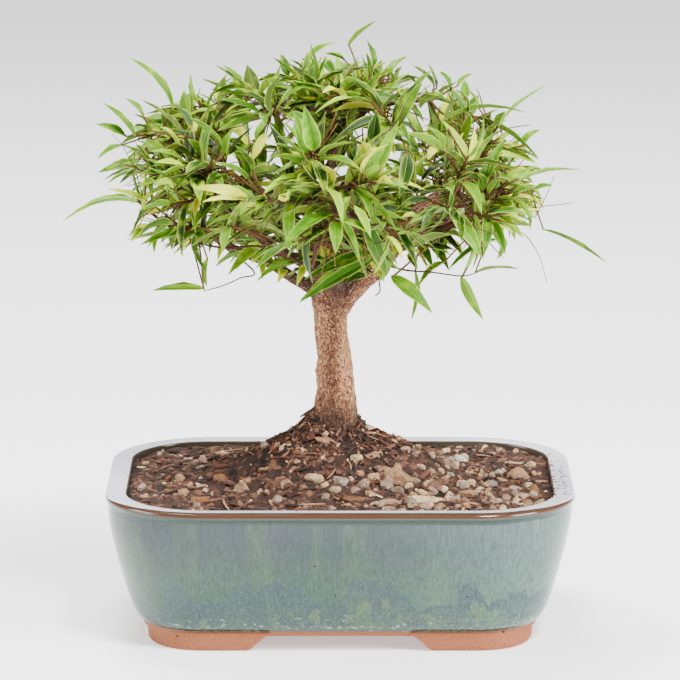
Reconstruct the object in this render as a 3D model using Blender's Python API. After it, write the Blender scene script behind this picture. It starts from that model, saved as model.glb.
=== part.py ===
"""A willow-leaf ficus bonsai, 265 mm tall, in a 203 mm rectangular glazed pot.

Lengths are in millimetres and are turned into metres where a mesh is made.
The origin is the middle of the plane that the pot's four feet stand on, +Z is
up and the plant's front faces -Y.
"""

import math
from collections import namedtuple

import bmesh
import bpy
import numpy as np
from mathutils import Vector
from mathutils.bvhtree import BVHTree

MM = 0.001
GAP = 0.3
WELD = 0.004

# The pot, an 8 by 6 inch oblong
POT_LENGTH = 203.0
POT_WIDTH = 152.0
POT_HEIGHT = 64.0
RIM_CORNER_RADIUS = 45.0
FOOT_HEIGHT = 7.0
FLOOR_THICKNESS = 7.0
RIM_TOP_WIDTH = 9.4
DRAIN_X = 38.0
DRAIN_RADIUS = 8.0

# The plant: where the trunk stands, and the crown's own ellipsoid
TRUNK_X, TRUNK_Y = -1.7, 8.0
ROOT_STUB_BOTTOM = 30.0
SOIL_EDGE = 61.6
SOIL_DOME = 19.0
CROWN_CENTRE = Vector((-3.0, 0.5, 194.0))
CROWN_ABOVE = Vector((88.0, 74.0, 47.0))
CROWN_BELOW = Vector((88.0, 74.0, 27.0))
SPRAYS = 50
LEAVES_PER_SPRAY = 5
SEED = 2611

# The photograph's camera, which places the leaves and stones that are seen in it
EYE = Vector((0.0, -2000.0, 531.3))
AIM = Vector((0.0, 0.0, 124.1))
FOCAL_PIXELS = 4681.0
PICTURE_MIDDLE = 340.0

COLOURS = {
    "glaze": (0.27, 0.36, 0.33, 1.0),
    "soil": (0.09, 0.045, 0.03, 1.0),
    "bark": (0.26, 0.15, 0.09, 1.0),
    "leaf": (0.12, 0.28, 0.05, 1.0),
    "mesh": (0.02, 0.02, 0.02, 1.0),
}


def clear_scene():
    for old in list(bpy.data.objects):
        bpy.data.objects.remove(old, do_unlink=True)


def make_collection(name):
    collection = bpy.data.collections.new(name)
    bpy.context.scene.collection.children.link(collection)
    return collection


def make_material(name, roughness, metallic=0.0):
    material = bpy.data.materials.new(name)
    material.use_nodes = True
    shader = material.node_tree.nodes["Principled BSDF"]
    shader.inputs["Base Color"].default_value = COLOURS[name]
    shader.inputs["Roughness"].default_value = roughness
    shader.inputs["Metallic"].default_value = metallic
    return material


def add_object(name, points, faces, collection, material=None):
    """A mesh object from points in millimetres, its faces turned outwards."""
    mesh = bpy.data.meshes.new(name)
    mesh.from_pydata([tuple(MM * c for c in p) for p in points], [], faces)
    shaped = bmesh.new()
    shaped.from_mesh(mesh)
    bmesh.ops.recalc_face_normals(shaped, faces=shaped.faces)
    shaped.to_mesh(mesh)
    shaped.free()
    if material:
        mesh.materials.append(material)
    made = bpy.data.objects.new(name, mesh)
    collection.objects.link(made)
    return made


def apply_modifiers(target):
    """Replaces the object's mesh with its evaluated one and welds what a join left split."""
    bpy.context.view_layer.update()
    evaluated = target.evaluated_get(bpy.context.evaluated_depsgraph_get())
    finished = bpy.data.meshes.new_from_object(evaluated)
    target.modifiers.clear()
    shaped = bmesh.new()
    shaped.from_mesh(finished)
    bmesh.ops.remove_doubles(shaped, verts=shaped.verts, dist=WELD * MM)
    bmesh.ops.dissolve_degenerate(shaped, edges=shaped.edges, dist=WELD * MM)
    shaped.to_mesh(finished)
    shaped.free()
    target.data = finished


def boolean(target, operation, other, solver="EXACT"):
    """Joins or cuts the target with one object or with a whole collection, and applies it."""
    step = target.modifiers.new(operation.title(), "BOOLEAN")
    step.operation = operation
    step.solver = solver
    if isinstance(other, bpy.types.Collection):
        step.operand_type = "COLLECTION"
        step.collection = other
    else:
        step.object = other
    apply_modifiers(target)


def is_closed(item):
    """True if each edge of the object's mesh has a face on either side of it."""
    shaped = bmesh.new()
    shaped.from_mesh(item.data)
    closed = all(len(edge.link_faces) == 2 for edge in shaped.edges)
    shaped.free()
    return closed


def empty_collection(collection):
    for used in list(collection.objects):
        bpy.data.objects.remove(used, do_unlink=True)


def loft(rings):
    """Points and faces of a closed skin over rings that have equal point counts."""
    count = len(rings[0])
    points = [p for ring in rings for p in ring]
    faces = []
    for level in range(len(rings) - 1):
        for i in range(count):
            j = (i + 1) % count
            low, high = level * count, (level + 1) * count
            faces.append((low + i, low + j, high + j, high + i))
    faces.append(tuple(reversed(range(count))))
    last = (len(rings) - 1) * count
    faces.append(tuple(range(last, last + count)))
    return points, faces


def rounded_rectangle(half_x, half_y, radius, z, corner_steps=5, side_steps=1):
    """A ring round the Z axis: four arcs, with the straight sides split into side_steps."""
    ring = []
    signs = ((1, 1), (-1, 1), (-1, -1), (1, -1))
    for quarter, (sx, sy) in enumerate(signs):
        centre = (sx * (half_x - radius), sy * (half_y - radius))
        arc = []
        for step in range(corner_steps + 1):
            angle = math.radians(90 * (quarter + step / corner_steps))
            x = centre[0] + radius * math.cos(angle)
            y = centre[1] + radius * math.sin(angle)
            arc.append((x, y, z))
        if ring:
            ring += between(ring[-1], arc[0], side_steps)
        ring += arc
    return ring + between(ring[-1], ring[0], side_steps)


def between(start, end, steps):
    return [
        tuple(a + (b - a) * k / steps for a, b in zip(start, end)) for k in range(1, steps)
    ]


def tree_of(points, faces):
    return BVHTree.FromPolygons([Vector(p) for p in points], faces, all_triangles=False)


class Occupied:
    """What already stands in the crown, so that no leaf or twig of one spray meets another's."""

    def __init__(self):
        self.owners = []
        self.middles = []
        self.radii = []
        self.trees = []

    def add(self, owner, points, faces):
        spots = np.array(points)
        middle = (spots.min(0) + spots.max(0)) / 2
        self.owners.append(owner)
        self.middles.append(middle)
        self.radii.append(np.linalg.norm(spots - middle, axis=1).max())
        self.trees.append(tree_of(points, faces))

    def meets(self, owner, points, faces):
        spots = np.array(points)
        middle = (spots.min(0) + spots.max(0)) / 2
        radius = np.linalg.norm(spots - middle, axis=1).max()
        apart = np.linalg.norm(np.array(self.middles) - middle, axis=1)
        near = np.nonzero(apart < radius + np.array(self.radii))[0]
        tree = tree_of(points, faces)
        for k in near:
            if self.owners[k] != owner and self.trees[k].overlap(tree):
                return True
        return False


# Pot

# How far the outer wall stands in from the rim's edge, against height, foot plane up
OUTER_WALL = (
    (19.6, FOOT_HEIGHT),
    (17.6, FOOT_HEIGHT + 0.4),
    (16.9, 8.9),
    (15.0, 9.6),
    (12.8, 12.5),
    (9.7, 20.0),
    (5.7, 33.3),
    (2.6, 47.0),
    (1.2, 57.0),
    (1.0, 60.6),
    (0.1, 61.3),
    (0.0, 62.9),
    (0.8, POT_HEIGHT),
)
INNER_WALL = (
    (RIM_TOP_WIDTH - 0.5, POT_HEIGHT),
    (RIM_TOP_WIDTH, POT_HEIGHT - 0.6),
    (RIM_TOP_WIDTH + 0.6, 57.0),
    (14.5, 33.0),
    (20.0, FOOT_HEIGHT + FLOOR_THICKNESS + 3.0),
    (24.0, FOOT_HEIGHT + FLOOR_THICKNESS),
)
CORNER_SHRINK = 1.12
FOOT_INSET_TOP = 18.2
FOOT_INSET_BOTTOM = 19.6
FOOT_RING_WIDTH = 13.0
FOOT_GAP_X = (38.5, 33.0)
FOOT_GAP_Y = (25.5, 20.0)


def pot_ring(inset, z, corner_steps=5, side_steps=1):
    radius = RIM_CORNER_RADIUS - CORNER_SHRINK * inset
    half_x, half_y = POT_LENGTH / 2 - inset, POT_WIDTH / 2 - inset
    return rounded_rectangle(half_x, half_y, radius, z, corner_steps, side_steps)


def wedge(name, half_widths, along, top, collection):
    """A cutter for the gap between two feet: wider at the floor than at its top."""
    bpy.ops.mesh.primitive_cube_add(size=1.0)
    cutter = bpy.context.active_object
    cutter.name = name
    low, high = -1.0, top
    for corner in cutter.data.vertices:
        at_top = corner.co.z > 0
        half = half_widths[1] if at_top else half_widths[0]
        across = math.copysign(half, corner.co.x)
        length = math.copysign(POT_LENGTH, corner.co.y)
        height = high if at_top else low
        place = (across, length) if along == "Y" else (length, across)
        corner.co = Vector((place[0], place[1], height)) * MM
    shaped = bmesh.new()
    shaped.from_mesh(cutter.data)
    bmesh.ops.recalc_face_normals(shaped, faces=shaped.faces)
    shaped.to_mesh(cutter.data)
    shaped.free()
    move_to(cutter, collection)
    cutter.hide_render = True
    cutter.display_type = "WIRE"
    return cutter


def move_to(item, collection):
    for holder in list(item.users_collection):
        holder.objects.unlink(item)
    collection.objects.link(item)


def build_pot(parts, cutters, material):
    body_rings = [pot_ring(*level) for level in OUTER_WALL + INNER_WALL]
    pot = add_object("pot", *loft(body_rings), parts, material)

    foot_top = FOOT_HEIGHT + 1.2
    outline = (
        (FOOT_INSET_TOP, foot_top),
        (FOOT_INSET_TOP + 0.1, 3.0),
        (FOOT_INSET_BOTTOM, 0.9),
        (FOOT_INSET_BOTTOM + 1.4, 0.0),
    )
    feet = add_object("feet", *loft([pot_ring(*level) for level in outline]), cutters)
    inner = FOOT_INSET_BOTTOM + FOOT_RING_WIDTH
    middle = loft([pot_ring(inner, foot_top + 1.0), pot_ring(inner, -1.0)])
    boolean(feet, "DIFFERENCE", add_object("foot_middle", *middle, cutters))
    gap_top = FOOT_HEIGHT + 0.4
    for name, gap, along in (
        ("foot_gap_front", FOOT_GAP_X, "Y"),
        ("foot_gap_side", FOOT_GAP_Y, "X"),
    ):
        boolean(feet, "DIFFERENCE", wedge(name, gap, along, gap_top, cutters))
    boolean(pot, "UNION", feet)
    for side in (-1, 1):
        boolean(pot, "DIFFERENCE", drain_hole(side, cutters))
    empty_collection(cutters)
    pot.data.shade_smooth()
    pot.data.set_sharp_from_angle(angle=math.radians(40))
    return pot


def drain_hole(side, collection):
    depth = FLOOR_THICKNESS + 4.0
    bpy.ops.mesh.primitive_cylinder_add(
        vertices=16,
        radius=DRAIN_RADIUS * MM,
        depth=depth * MM,
        location=(side * DRAIN_X * MM, 0.0, (FOOT_HEIGHT + FLOOR_THICKNESS / 2) * MM),
    )
    cutter = bpy.context.active_object
    move_to(cutter, collection)
    cutter.hide_render = True
    cutter.display_type = "WIRE"
    return cutter


# Drain meshes, a plastic square laid over each hole

MESH_SIDE = 24.0
MESH_THICKNESS = 1.2
MESH_HOLE = 5.5
MESH_PITCH = 8.0


def build_drain_mesh(side, parts, cutters, material):
    name = "drain_mesh_left" if side < 0 else "drain_mesh_right"
    bottom = FOOT_HEIGHT + FLOOR_THICKNESS + GAP
    centre = (side * DRAIN_X, 0.0, bottom + MESH_THICKNESS / 2)
    sheet = cuboid(name, centre, (MESH_SIDE, MESH_SIDE, MESH_THICKNESS), parts)
    sheet.data.materials.append(material)
    for row in (-0.5, 0.5):
        for column in (-0.5, 0.5):
            place = (centre[0] + column * MESH_PITCH, row * MESH_PITCH, centre[2])
            cuboid("hole", place, (MESH_HOLE, MESH_HOLE, 3 * MESH_THICKNESS), cutters)
    boolean(sheet, "DIFFERENCE", cutters)
    empty_collection(cutters)
    return sheet


def cuboid(name, centre, size, collection):
    bpy.ops.mesh.primitive_cube_add(size=1.0)
    block = bpy.context.active_object
    block.name = name
    for corner in block.data.vertices:
        corner.co = Vector([(c + s * v) * MM for c, s, v in zip(centre, size, corner.co)])
    move_to(block, collection)
    return block


# Soil: a mound heaped against the trunk, with stones and bark lying in it

Stone = namedtuple("Stone", "u v wide high turn")
# Where the larger stones and chips show in the photograph, in its pixels: middle, size, tilt
STONES = (
    Stone(314, 479, 20, 11, 5),
    Stone(342, 481, 19, 13, 0),
    Stone(364, 485, 15, 12, -30),
    Stone(375, 477, 16, 10, 10),
    Stone(399, 478, 31, 15, -30),
    Stone(336, 491, 14, 10, 10),
    Stone(370, 495, 11, 10, 0),
    Stone(398, 492, 20, 11, -5),
    Stone(391, 503, 24, 11, 0),
    Stone(353, 499, 20, 10, 0),
    Stone(428, 501, 44, 12, -8),
    Stone(424, 494, 13, 9, -30),
    Stone(430, 485, 30, 11, 15),
    Stone(357, 459, 12, 9, 0),
    Stone(460, 461, 16, 12, -20),
    Stone(461, 486, 15, 14, 0),
    Stone(465, 496, 27, 10, 10),
    Stone(470, 506, 28, 9, 0),
    Stone(495, 503, 14, 12, 20),
    Stone(518, 477, 21, 18, -20),
    Stone(512, 464, 19, 9, 0),
    Stone(502, 474, 11, 11, 0),
    Stone(519, 496, 20, 8, 0),
    Stone(535, 490, 10, 12, 0),
    Stone(286, 485, 11, 9, 0),
    Stone(278, 501, 11, 10, 30),
    Stone(195, 465, 19, 9, 0),
    Stone(222, 480, 18, 12, 0),
    Stone(243, 489, 15, 12, -40),
    Stone(201, 501, 23, 10, 0),
    Stone(145, 496, 11, 8, 0),
    Stone(238, 445, 20, 8, 10),
)
SOIL_RINGS = 9
SOIL_SIDE_STEPS = 6
SOIL_ROUGHNESS = 0.9
HOLE_RADIUS = 10.4
DOME_RADIUS = 46.0
# The skirt of soil that climbs the trunk, in height and reach, and how much more on the left
SKIRT_CLIMB, SKIRT_CLIMB_LEFT = 7.5, 3.5
SKIRT_REACH, SKIRT_REACH_LEFT = 3.0, 3.0
STONE_SUNK = 0.15


def soil_height(x, y):
    """Level near the rim, a broad dome, and a skirt that climbs the trunk on its left."""
    from_trunk = math.hypot(x - TRUNK_X, (y - TRUNK_Y) * POT_LENGTH / POT_WIDTH)
    dome = SOIL_DOME * math.exp(-((from_trunk / DOME_RADIUS) ** 3))
    leftward = 0.5 - 0.5 * (x - TRUNK_X) / max(from_trunk, 1.0)
    climb = SKIRT_CLIMB + SKIRT_CLIMB_LEFT * leftward
    reach = SKIRT_REACH + SKIRT_REACH_LEFT * leftward
    skirt = climb * math.exp(-max(from_trunk - HOLE_RADIUS, 0.0) / reach)
    return SOIL_EDGE + dome + skirt


def sight_line(u, v):
    """The direction from the camera through a pixel of the photograph."""
    forward = (AIM - EYE).normalized()
    right = Vector((1.0, 0.0, 0.0))
    up = right.cross(forward)
    across, down = u - PICTURE_MIDDLE, v - PICTURE_MIDDLE
    return forward * FOCAL_PIXELS + right * across - up * down


def seen_at_depth(u, v, y):
    """The point at depth y that shows at that pixel."""
    ray = sight_line(u, v)
    return EYE + ray * ((y - EYE.y) / ray.y)


def seen_on_soil(u, v):
    """The point of the soil that shows at that pixel, found by stepping along the ray."""
    y = -POT_WIDTH / 2
    while y < POT_WIDTH / 2:
        p = seen_at_depth(u, v, y)
        if p.z <= soil_height(p.x, p.y):
            return p
        y += 0.5
    return p


def beyond_wall(x, y):
    """How far a point lies outside the soil's own rounded outline, or minus how far inside."""
    inset = RIM_TOP_WIDTH + 1.0 + GAP
    radius = RIM_CORNER_RADIUS - CORNER_SHRINK * inset
    over_x = abs(x) - (POT_LENGTH / 2 - inset - radius)
    over_y = abs(y) - (POT_WIDTH / 2 - inset - radius)
    outside = math.hypot(max(over_x, 0.0), max(over_y, 0.0))
    return outside + min(max(over_x, over_y), 0.0) - radius


def blend_rings(outer, inner, share):
    return [
        (a[0] + (b[0] - a[0]) * share, a[1] + (b[1] - a[1]) * share)
        for a, b in zip(outer, inner)
    ]


def build_soil(parts, cutters, material):
    draw = np.random.default_rng(SEED)
    edge_inset = RIM_TOP_WIDTH + 0.6 + GAP
    top_edge = pot_ring(edge_inset, 0.0, side_steps=SOIL_SIDE_STEPS)
    hole = []
    for x, y, _ in top_edge:
        angle = math.atan2(y / POT_WIDTH, x / POT_LENGTH)
        hole.append(
            (TRUNK_X + HOLE_RADIUS * math.cos(angle), TRUNK_Y + HOLE_RADIUS * math.sin(angle))
        )
    rings = []
    floor_top = FOOT_HEIGHT + FLOOR_THICKNESS + GAP
    for inset, z in (
        (24.6, floor_top),
        (20.0 + GAP, floor_top + 3.4),
        (14.5 + GAP, 33.0),
        (edge_inset, 57.0),
    ):
        rings.append(pot_ring(inset, z, side_steps=SOIL_SIDE_STEPS))
    for level in range(SOIL_RINGS + 1):
        share = (level / SOIL_RINGS) ** 0.8
        ring = []
        for x, y in blend_rings(top_edge, hole, share):
            lump = draw.uniform(-1, 1) * SOIL_ROUGHNESS
            still = level in (0, SOIL_RINGS)
            ring.append((x, y, soil_height(x, y) + (0.0 if still else lump)))
        rings.append(ring)
    rings.append([(x, y, ROOT_STUB_BOTTOM - GAP) for x, y in hole])
    soil = add_object("soil", *loft(rings), parts, material)

    for number, stone in enumerate(STONES):
        bpy.ops.mesh.primitive_ico_sphere_add(subdivisions=1, radius=1.0)
        lump = bpy.context.active_object
        lump.name = f"stone_{number}"
        shape_stone(lump.data, stone, draw)
        move_to(lump, cutters)
    boolean(soil, "UNION", cutters)
    empty_collection(cutters)
    for side in (-1, 1):
        seat = (side * DRAIN_X, 0.0, floor_top + MESH_THICKNESS / 2)
        side_length = MESH_SIDE + 2 * GAP
        size = (side_length, side_length, MESH_THICKNESS + 2 * GAP)
        boolean(soil, "DIFFERENCE", cuboid("seat", seat, size, cutters))
        empty_collection(cutters)
    return soil


def shape_stone(mesh, stone, draw):
    """A knobbly stone as wide and as tall as it shows, half sunk in the soil."""
    scale = (EYE - AIM).length / FOCAL_PIXELS
    half_wide, half_high = stone.wide * scale / 2, stone.high * scale / 2
    half_deep = 0.8 * min(half_wide, 1.3 * half_high)
    turn = math.radians(stone.turn)
    centre = seen_on_soil(stone.u, stone.v)
    while beyond_wall(centre.x, centre.y) > -1.1 * half_wide:
        centre.xy *= 0.99
    centre.z -= STONE_SUNK * half_high
    for corner in mesh.vertices:
        knob = 1.0 + draw.uniform(-0.14, 0.1)
        x = corner.co.x * half_wide * knob
        y = corner.co.y * half_deep * knob
        z = corner.co.z * half_high * knob
        x, z = x * math.cos(turn) - z * math.sin(turn), x * math.sin(turn) + z * math.cos(turn)
        corner.co = (centre + Vector((x, y, z))) * MM


# Trunk and limbs: the wood as routes of x, y, z and radius

TRUNK = (
    (TRUNK_X, TRUNK_Y, ROOT_STUB_BOTTOM, 8.0),
    (TRUNK_X, TRUNK_Y, 84.0, 9.9),
    (TRUNK_X, TRUNK_Y, 93.5, 9.3),
    (-1.8, 8.0, 100.0, 8.4),
    (-2.3, 8.0, 108.0, 8.1),
    (-2.6, 8.0, 115.0, 7.7),
    (-3.5, 8.0, 122.0, 7.3),
    (-4.1, 8.0, 129.0, 7.2),
    (-4.4, 8.0, 136.0, 7.5),
    (-4.3, 8.0, 142.0, 8.0),
    (-4.0, 8.0, 147.0, 7.8),
    (-3.6, 8.0, 151.0, 5.8),
)
LIMBS = {
    "leader": (
        (-6.0, 8.0, 143.0, 5.6),
        (-9.4, 8.0, 152.0, 4.2),
        (-9.8, 9.0, 165.0, 3.4),
        (-8.0, 11.0, 182.0, 2.7),
        (-4.0, 12.0, 200.0, 2.1),
        (0.0, 10.0, 217.0, 1.5),
    ),
    "right": (
        (0.0, 8.0, 140.0, 6.0),
        (9.0, 7.5, 150.0, 5.6),
        (17.0, 7.0, 156.5, 5.0),
        (24.0, 6.5, 166.0, 4.3),
        (31.0, 6.0, 176.5, 3.9),
        (40.0, 6.5, 184.0, 3.4),
        (49.0, 8.0, 189.5, 2.9),
        (60.0, 9.0, 195.0, 1.9),
    ),
    "left": (
        (-6.0, 8.0, 139.0, 4.6),
        (-13.5, 7.0, 146.5, 3.1),
        (-21.0, 6.0, 151.0, 2.7),
        (-28.4, 5.0, 156.0, 2.4),
        (-38.0, 3.0, 160.5, 2.1),
        (-50.0, 0.0, 167.0, 1.7),
        (-61.0, -3.0, 176.0, 1.3),
    ),
    "front": (
        (-3.0, 4.0, 146.0, 4.8),
        (-1.0, -7.0, 156.0, 3.4),
        (3.0, -21.0, 167.0, 2.7),
        (5.0, -36.0, 178.0, 2.1),
        (3.0, -49.0, 189.0, 1.5),
    ),
    "back": (
        (-4.0, 12.0, 144.0, 4.8),
        (-5.0, 22.0, 155.0, 3.5),
        (-5.0, 36.0, 166.0, 2.8),
        (-3.0, 50.0, 179.0, 1.7),
    ),
    "back_right": (
        (14.0, 9.0, 154.0, 3.8),
        (24.0, 19.0, 162.0, 2.9),
        (36.0, 31.0, 172.0, 2.3),
        (48.0, 42.0, 184.0, 1.4),
    ),
    "front_right": (
        (24.0, 6.0, 166.0, 3.4),
        (34.0, -8.0, 173.0, 2.6),
        (45.0, -22.0, 181.0, 2.1),
        (54.0, -35.0, 190.0, 1.4),
    ),
    "back_left": (
        (-9.5, 9.0, 158.0, 3.2),
        (-21.0, 19.0, 166.0, 2.5),
        (-35.0, 30.0, 176.0, 1.9),
        (-48.0, 39.0, 187.0, 1.3),
    ),
    "front_left": (
        (-9.5, 7.0, 154.0, 3.2),
        (-20.0, -7.0, 162.0, 2.5),
        (-33.0, -22.0, 172.0, 1.9),
        (-45.0, -34.0, 184.0, 1.3),
    ),
}
BOUGH_STEPS = 3
BOUGH_START_RADIUS = 1.5
BOUGH_END_RADIUS = 0.95
# A target further from the wood than this gets a bough, which ends a shoot's length short of it
LONGEST_SHOOT = 35.0
SHOOT_LENGTH = 21.0
BOUGH_SAG = 0.12
SHOOT_STEM = 0.4
LOW_ON_LIMB = 25.0
CLIMB_WEIGHT = 0.25
BARK_RELIEF = 0.45


def smooth_route(route, per_span=2):
    """Points of x, y, z and radius on a curve through the route's own points."""
    points = [np.array(p, float) for p in route]
    ends = [2 * points[0] - points[1]] + points + [2 * points[-1] - points[-2]]
    made = []
    for k in range(1, len(ends) - 2):
        a, b, c, d = ends[k - 1 : k + 3]
        for step in range(per_span):
            t = step / per_span
            bend = 2 * b + (c - a) * t + (2 * a - 5 * b + 4 * c - d) * t**2
            made.append((bend + (3 * b - a - 3 * c + d) * t**3) / 2)
    return made + [points[-1]]


def tube(route, sides, relief=None):
    """Points and faces of a round skin along a route of x, y, z and radius."""
    rings = []
    side = None
    for k, here in enumerate(route):
        before, after = route[max(k - 1, 0)], route[min(k + 1, len(route) - 1)]
        along = Vector((after - before)[:3]).normalized()
        if side is None:
            side = Vector((0.0, 1.0, 0.0)) if abs(along.y) < 0.8 else Vector((1.0, 0.0, 0.0))
        side = (side - along * side.dot(along)).normalized()
        other = along.cross(side)
        ring = []
        for i in range(sides):
            angle = 2 * math.pi * i / sides
            radius = here[3] + (relief(k, i) if relief else 0.0)
            out = side * math.cos(angle) + other * math.sin(angle)
            ring.append(tuple(Vector(here[:3]) + out * radius))
        rings.append(ring)
    return loft(rings)


def nearest_on(routes, target):
    """The wood's point that a shoot to the target leaves from: near it, and not down at the fork."""
    best = None
    for name, route in routes.items():
        for k in range(1, len(route)):
            here = Vector(route[k][:3])
            score = (target - here).length + CLIMB_WEIGHT * max(0.0, here.z - target.z)
            if k == 1 and name in LIMBS:
                score += LOW_ON_LIMB
            if best is None or score < best[0]:
                best = (score, name, k)
    return best[1], best[2]


def crown_targets(count):
    """Points spread evenly over the crown's shell by the golden angle, none underneath."""
    turn = math.pi * (3 - math.sqrt(5))
    found = []
    for k in range(count):
        height = 1 - 1.62 * (k + 0.5) / count
        around = turn * k
        flat = math.sqrt(1 - height * height)
        spread = CROWN_ABOVE if height > 0 else CROWN_BELOW
        point = Vector((flat * math.cos(around), flat * math.sin(around), height))
        found.append(CROWN_CENTRE + Vector([p * s for p, s in zip(point, spread)]))
    return found


def crown_outward(point):
    """Straight out of the crown's ellipsoid at that point."""
    offset = point - CROWN_CENTRE
    spread = CROWN_ABOVE if offset.z > 0 else CROWN_BELOW
    return Vector([o / (s * s) for o, s in zip(offset, spread)]).normalized()


Shoot = namedtuple("Shoot", "name route")


def plan_wood():
    """The boughs that reach towards each target, one shoot for each, and the room they take."""
    routes = {name: smooth_route(route) for name, route in LIMBS.items()}
    boughs = {}
    starts = []
    targets = sorted(crown_targets(SPRAYS), key=lambda p: (p - CROWN_CENTRE).length)
    for number, target in enumerate(targets):
        name, k = nearest_on(routes, target)
        here = Vector(routes[name][k][:3])
        radius = routes[name][k][3]
        apart = target - here
        if apart.length > LONGEST_SHOOT:
            end = here + apart * (1.0 - SHOOT_LENGTH / apart.length)
            route = bough_route(here, end, min(BOUGH_START_RADIUS, 0.85 * radius))
            bough = f"bough_{number:02d}"
            boughs[bough] = route
            routes[bough] = route
            last = route[-1]
            along = Vector((last - route[-2])[:3]).normalized()
            start = Vector(last[:3]) + along * GAP
            first_way = along
        else:
            along = Vector((routes[name][k] - routes[name][k - 1])[:3]).normalized()
            away = (apart - along * apart.dot(along)).normalized()
            start = here + away * (radius + GAP + 0.1)
            first_way = away
        starts.append((start, first_way, target))

    taken = Occupied()
    taken.add("wood", *tube(smooth_route(TRUNK, 1), 12))
    for route in [*[smooth_route(r, 1) for r in LIMBS.values()], *boughs.values()]:
        taken.add("wood", *tube(route, 5))
    shoots = []
    for start, first_way, target in starts:
        shoot = clear_shoot(f"spray_{len(shoots) + 1:02d}", start, first_way, target, taken)
        taken.add(shoot.name, *tube(shoot.route, SHOOT_SIDES))
        shoots.append(shoot)
    return boughs, shoots, taken


def clear_shoot(name, start, first_way, target, taken):
    """A shoot to the target, begun further along its way until it meets no other wood."""
    begun = 0.0
    while begun < 0.8:
        route = shoot_route(start, first_way, target, begun)
        swollen = [p + np.array([0.0, 0.0, 0.0, GAP]) for p in route]
        if not taken.meets(name, *tube(swollen, SHOOT_SIDES)):
            break
        begun += 0.03
    return Shoot(name, route)


def bough_route(start, end, first_radius):
    """A route that leaves a limb flat and turns up to its end."""
    middle = (start + end) / 2 - Vector((0.0, 0.0, BOUGH_SAG * (end - start).length))
    route = []
    for k in range(BOUGH_STEPS + 1):
        t = k / BOUGH_STEPS
        p = start * (1 - t) ** 2 + middle * (2 * t * (1 - t)) + end * t**2
        route.append(np.array([*p, first_radius + (BOUGH_END_RADIUS - first_radius) * t]))
    return route


SHOOT_STEPS = 3
SHOOT_SIDES = 4
SHOOT_START_RADIUS = 1.0
SHOOT_END_RADIUS = 0.65


def shoot_route(start, first_way, target, begun):
    """A route that leaves the wood one way and bends to its target, less the share begun."""
    length = (target - start).length
    middle = start + first_way * (SHOOT_STEM * length)
    route = []
    for k in range(SHOOT_STEPS + 1):
        t = begun + (1 - begun) * k / SHOOT_STEPS
        p = start * (1 - t) ** 2 + middle * (2 * t * (1 - t)) + target * t**2
        radius = SHOOT_START_RADIUS + (SHOOT_END_RADIUS - SHOOT_START_RADIUS) * t
        route.append(np.array([*p, radius]))
    return route


def bark(level, side):
    """Low ridges that wander up the trunk."""
    wave = math.sin(2.1 * side + 0.9 * level) + 0.6 * math.sin(3.7 * side - 1.7 * level)
    return BARK_RELIEF * wave * (0.0 if level < 2 else 1.0)


def build_trunk(parts, cutters, material, boughs):
    trunk = add_object("trunk", *tube(smooth_route(TRUNK, 1), 12, bark), parts, material)
    for name, route in LIMBS.items():
        add_object(name, *tube(smooth_route(route, 1), 8), cutters)
    for name, route in boughs.items():
        add_object(name, *tube(route, 5), cutters)
    boolean(trunk, "UNION", cutters)
    empty_collection(cutters)
    trunk.data.shade_smooth()
    trunk.data.set_sharp_from_angle(angle=math.radians(60))
    return trunk


# Leaves

Seen = namedtuple("Seen", "base tip width arch depth lean roll")
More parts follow.
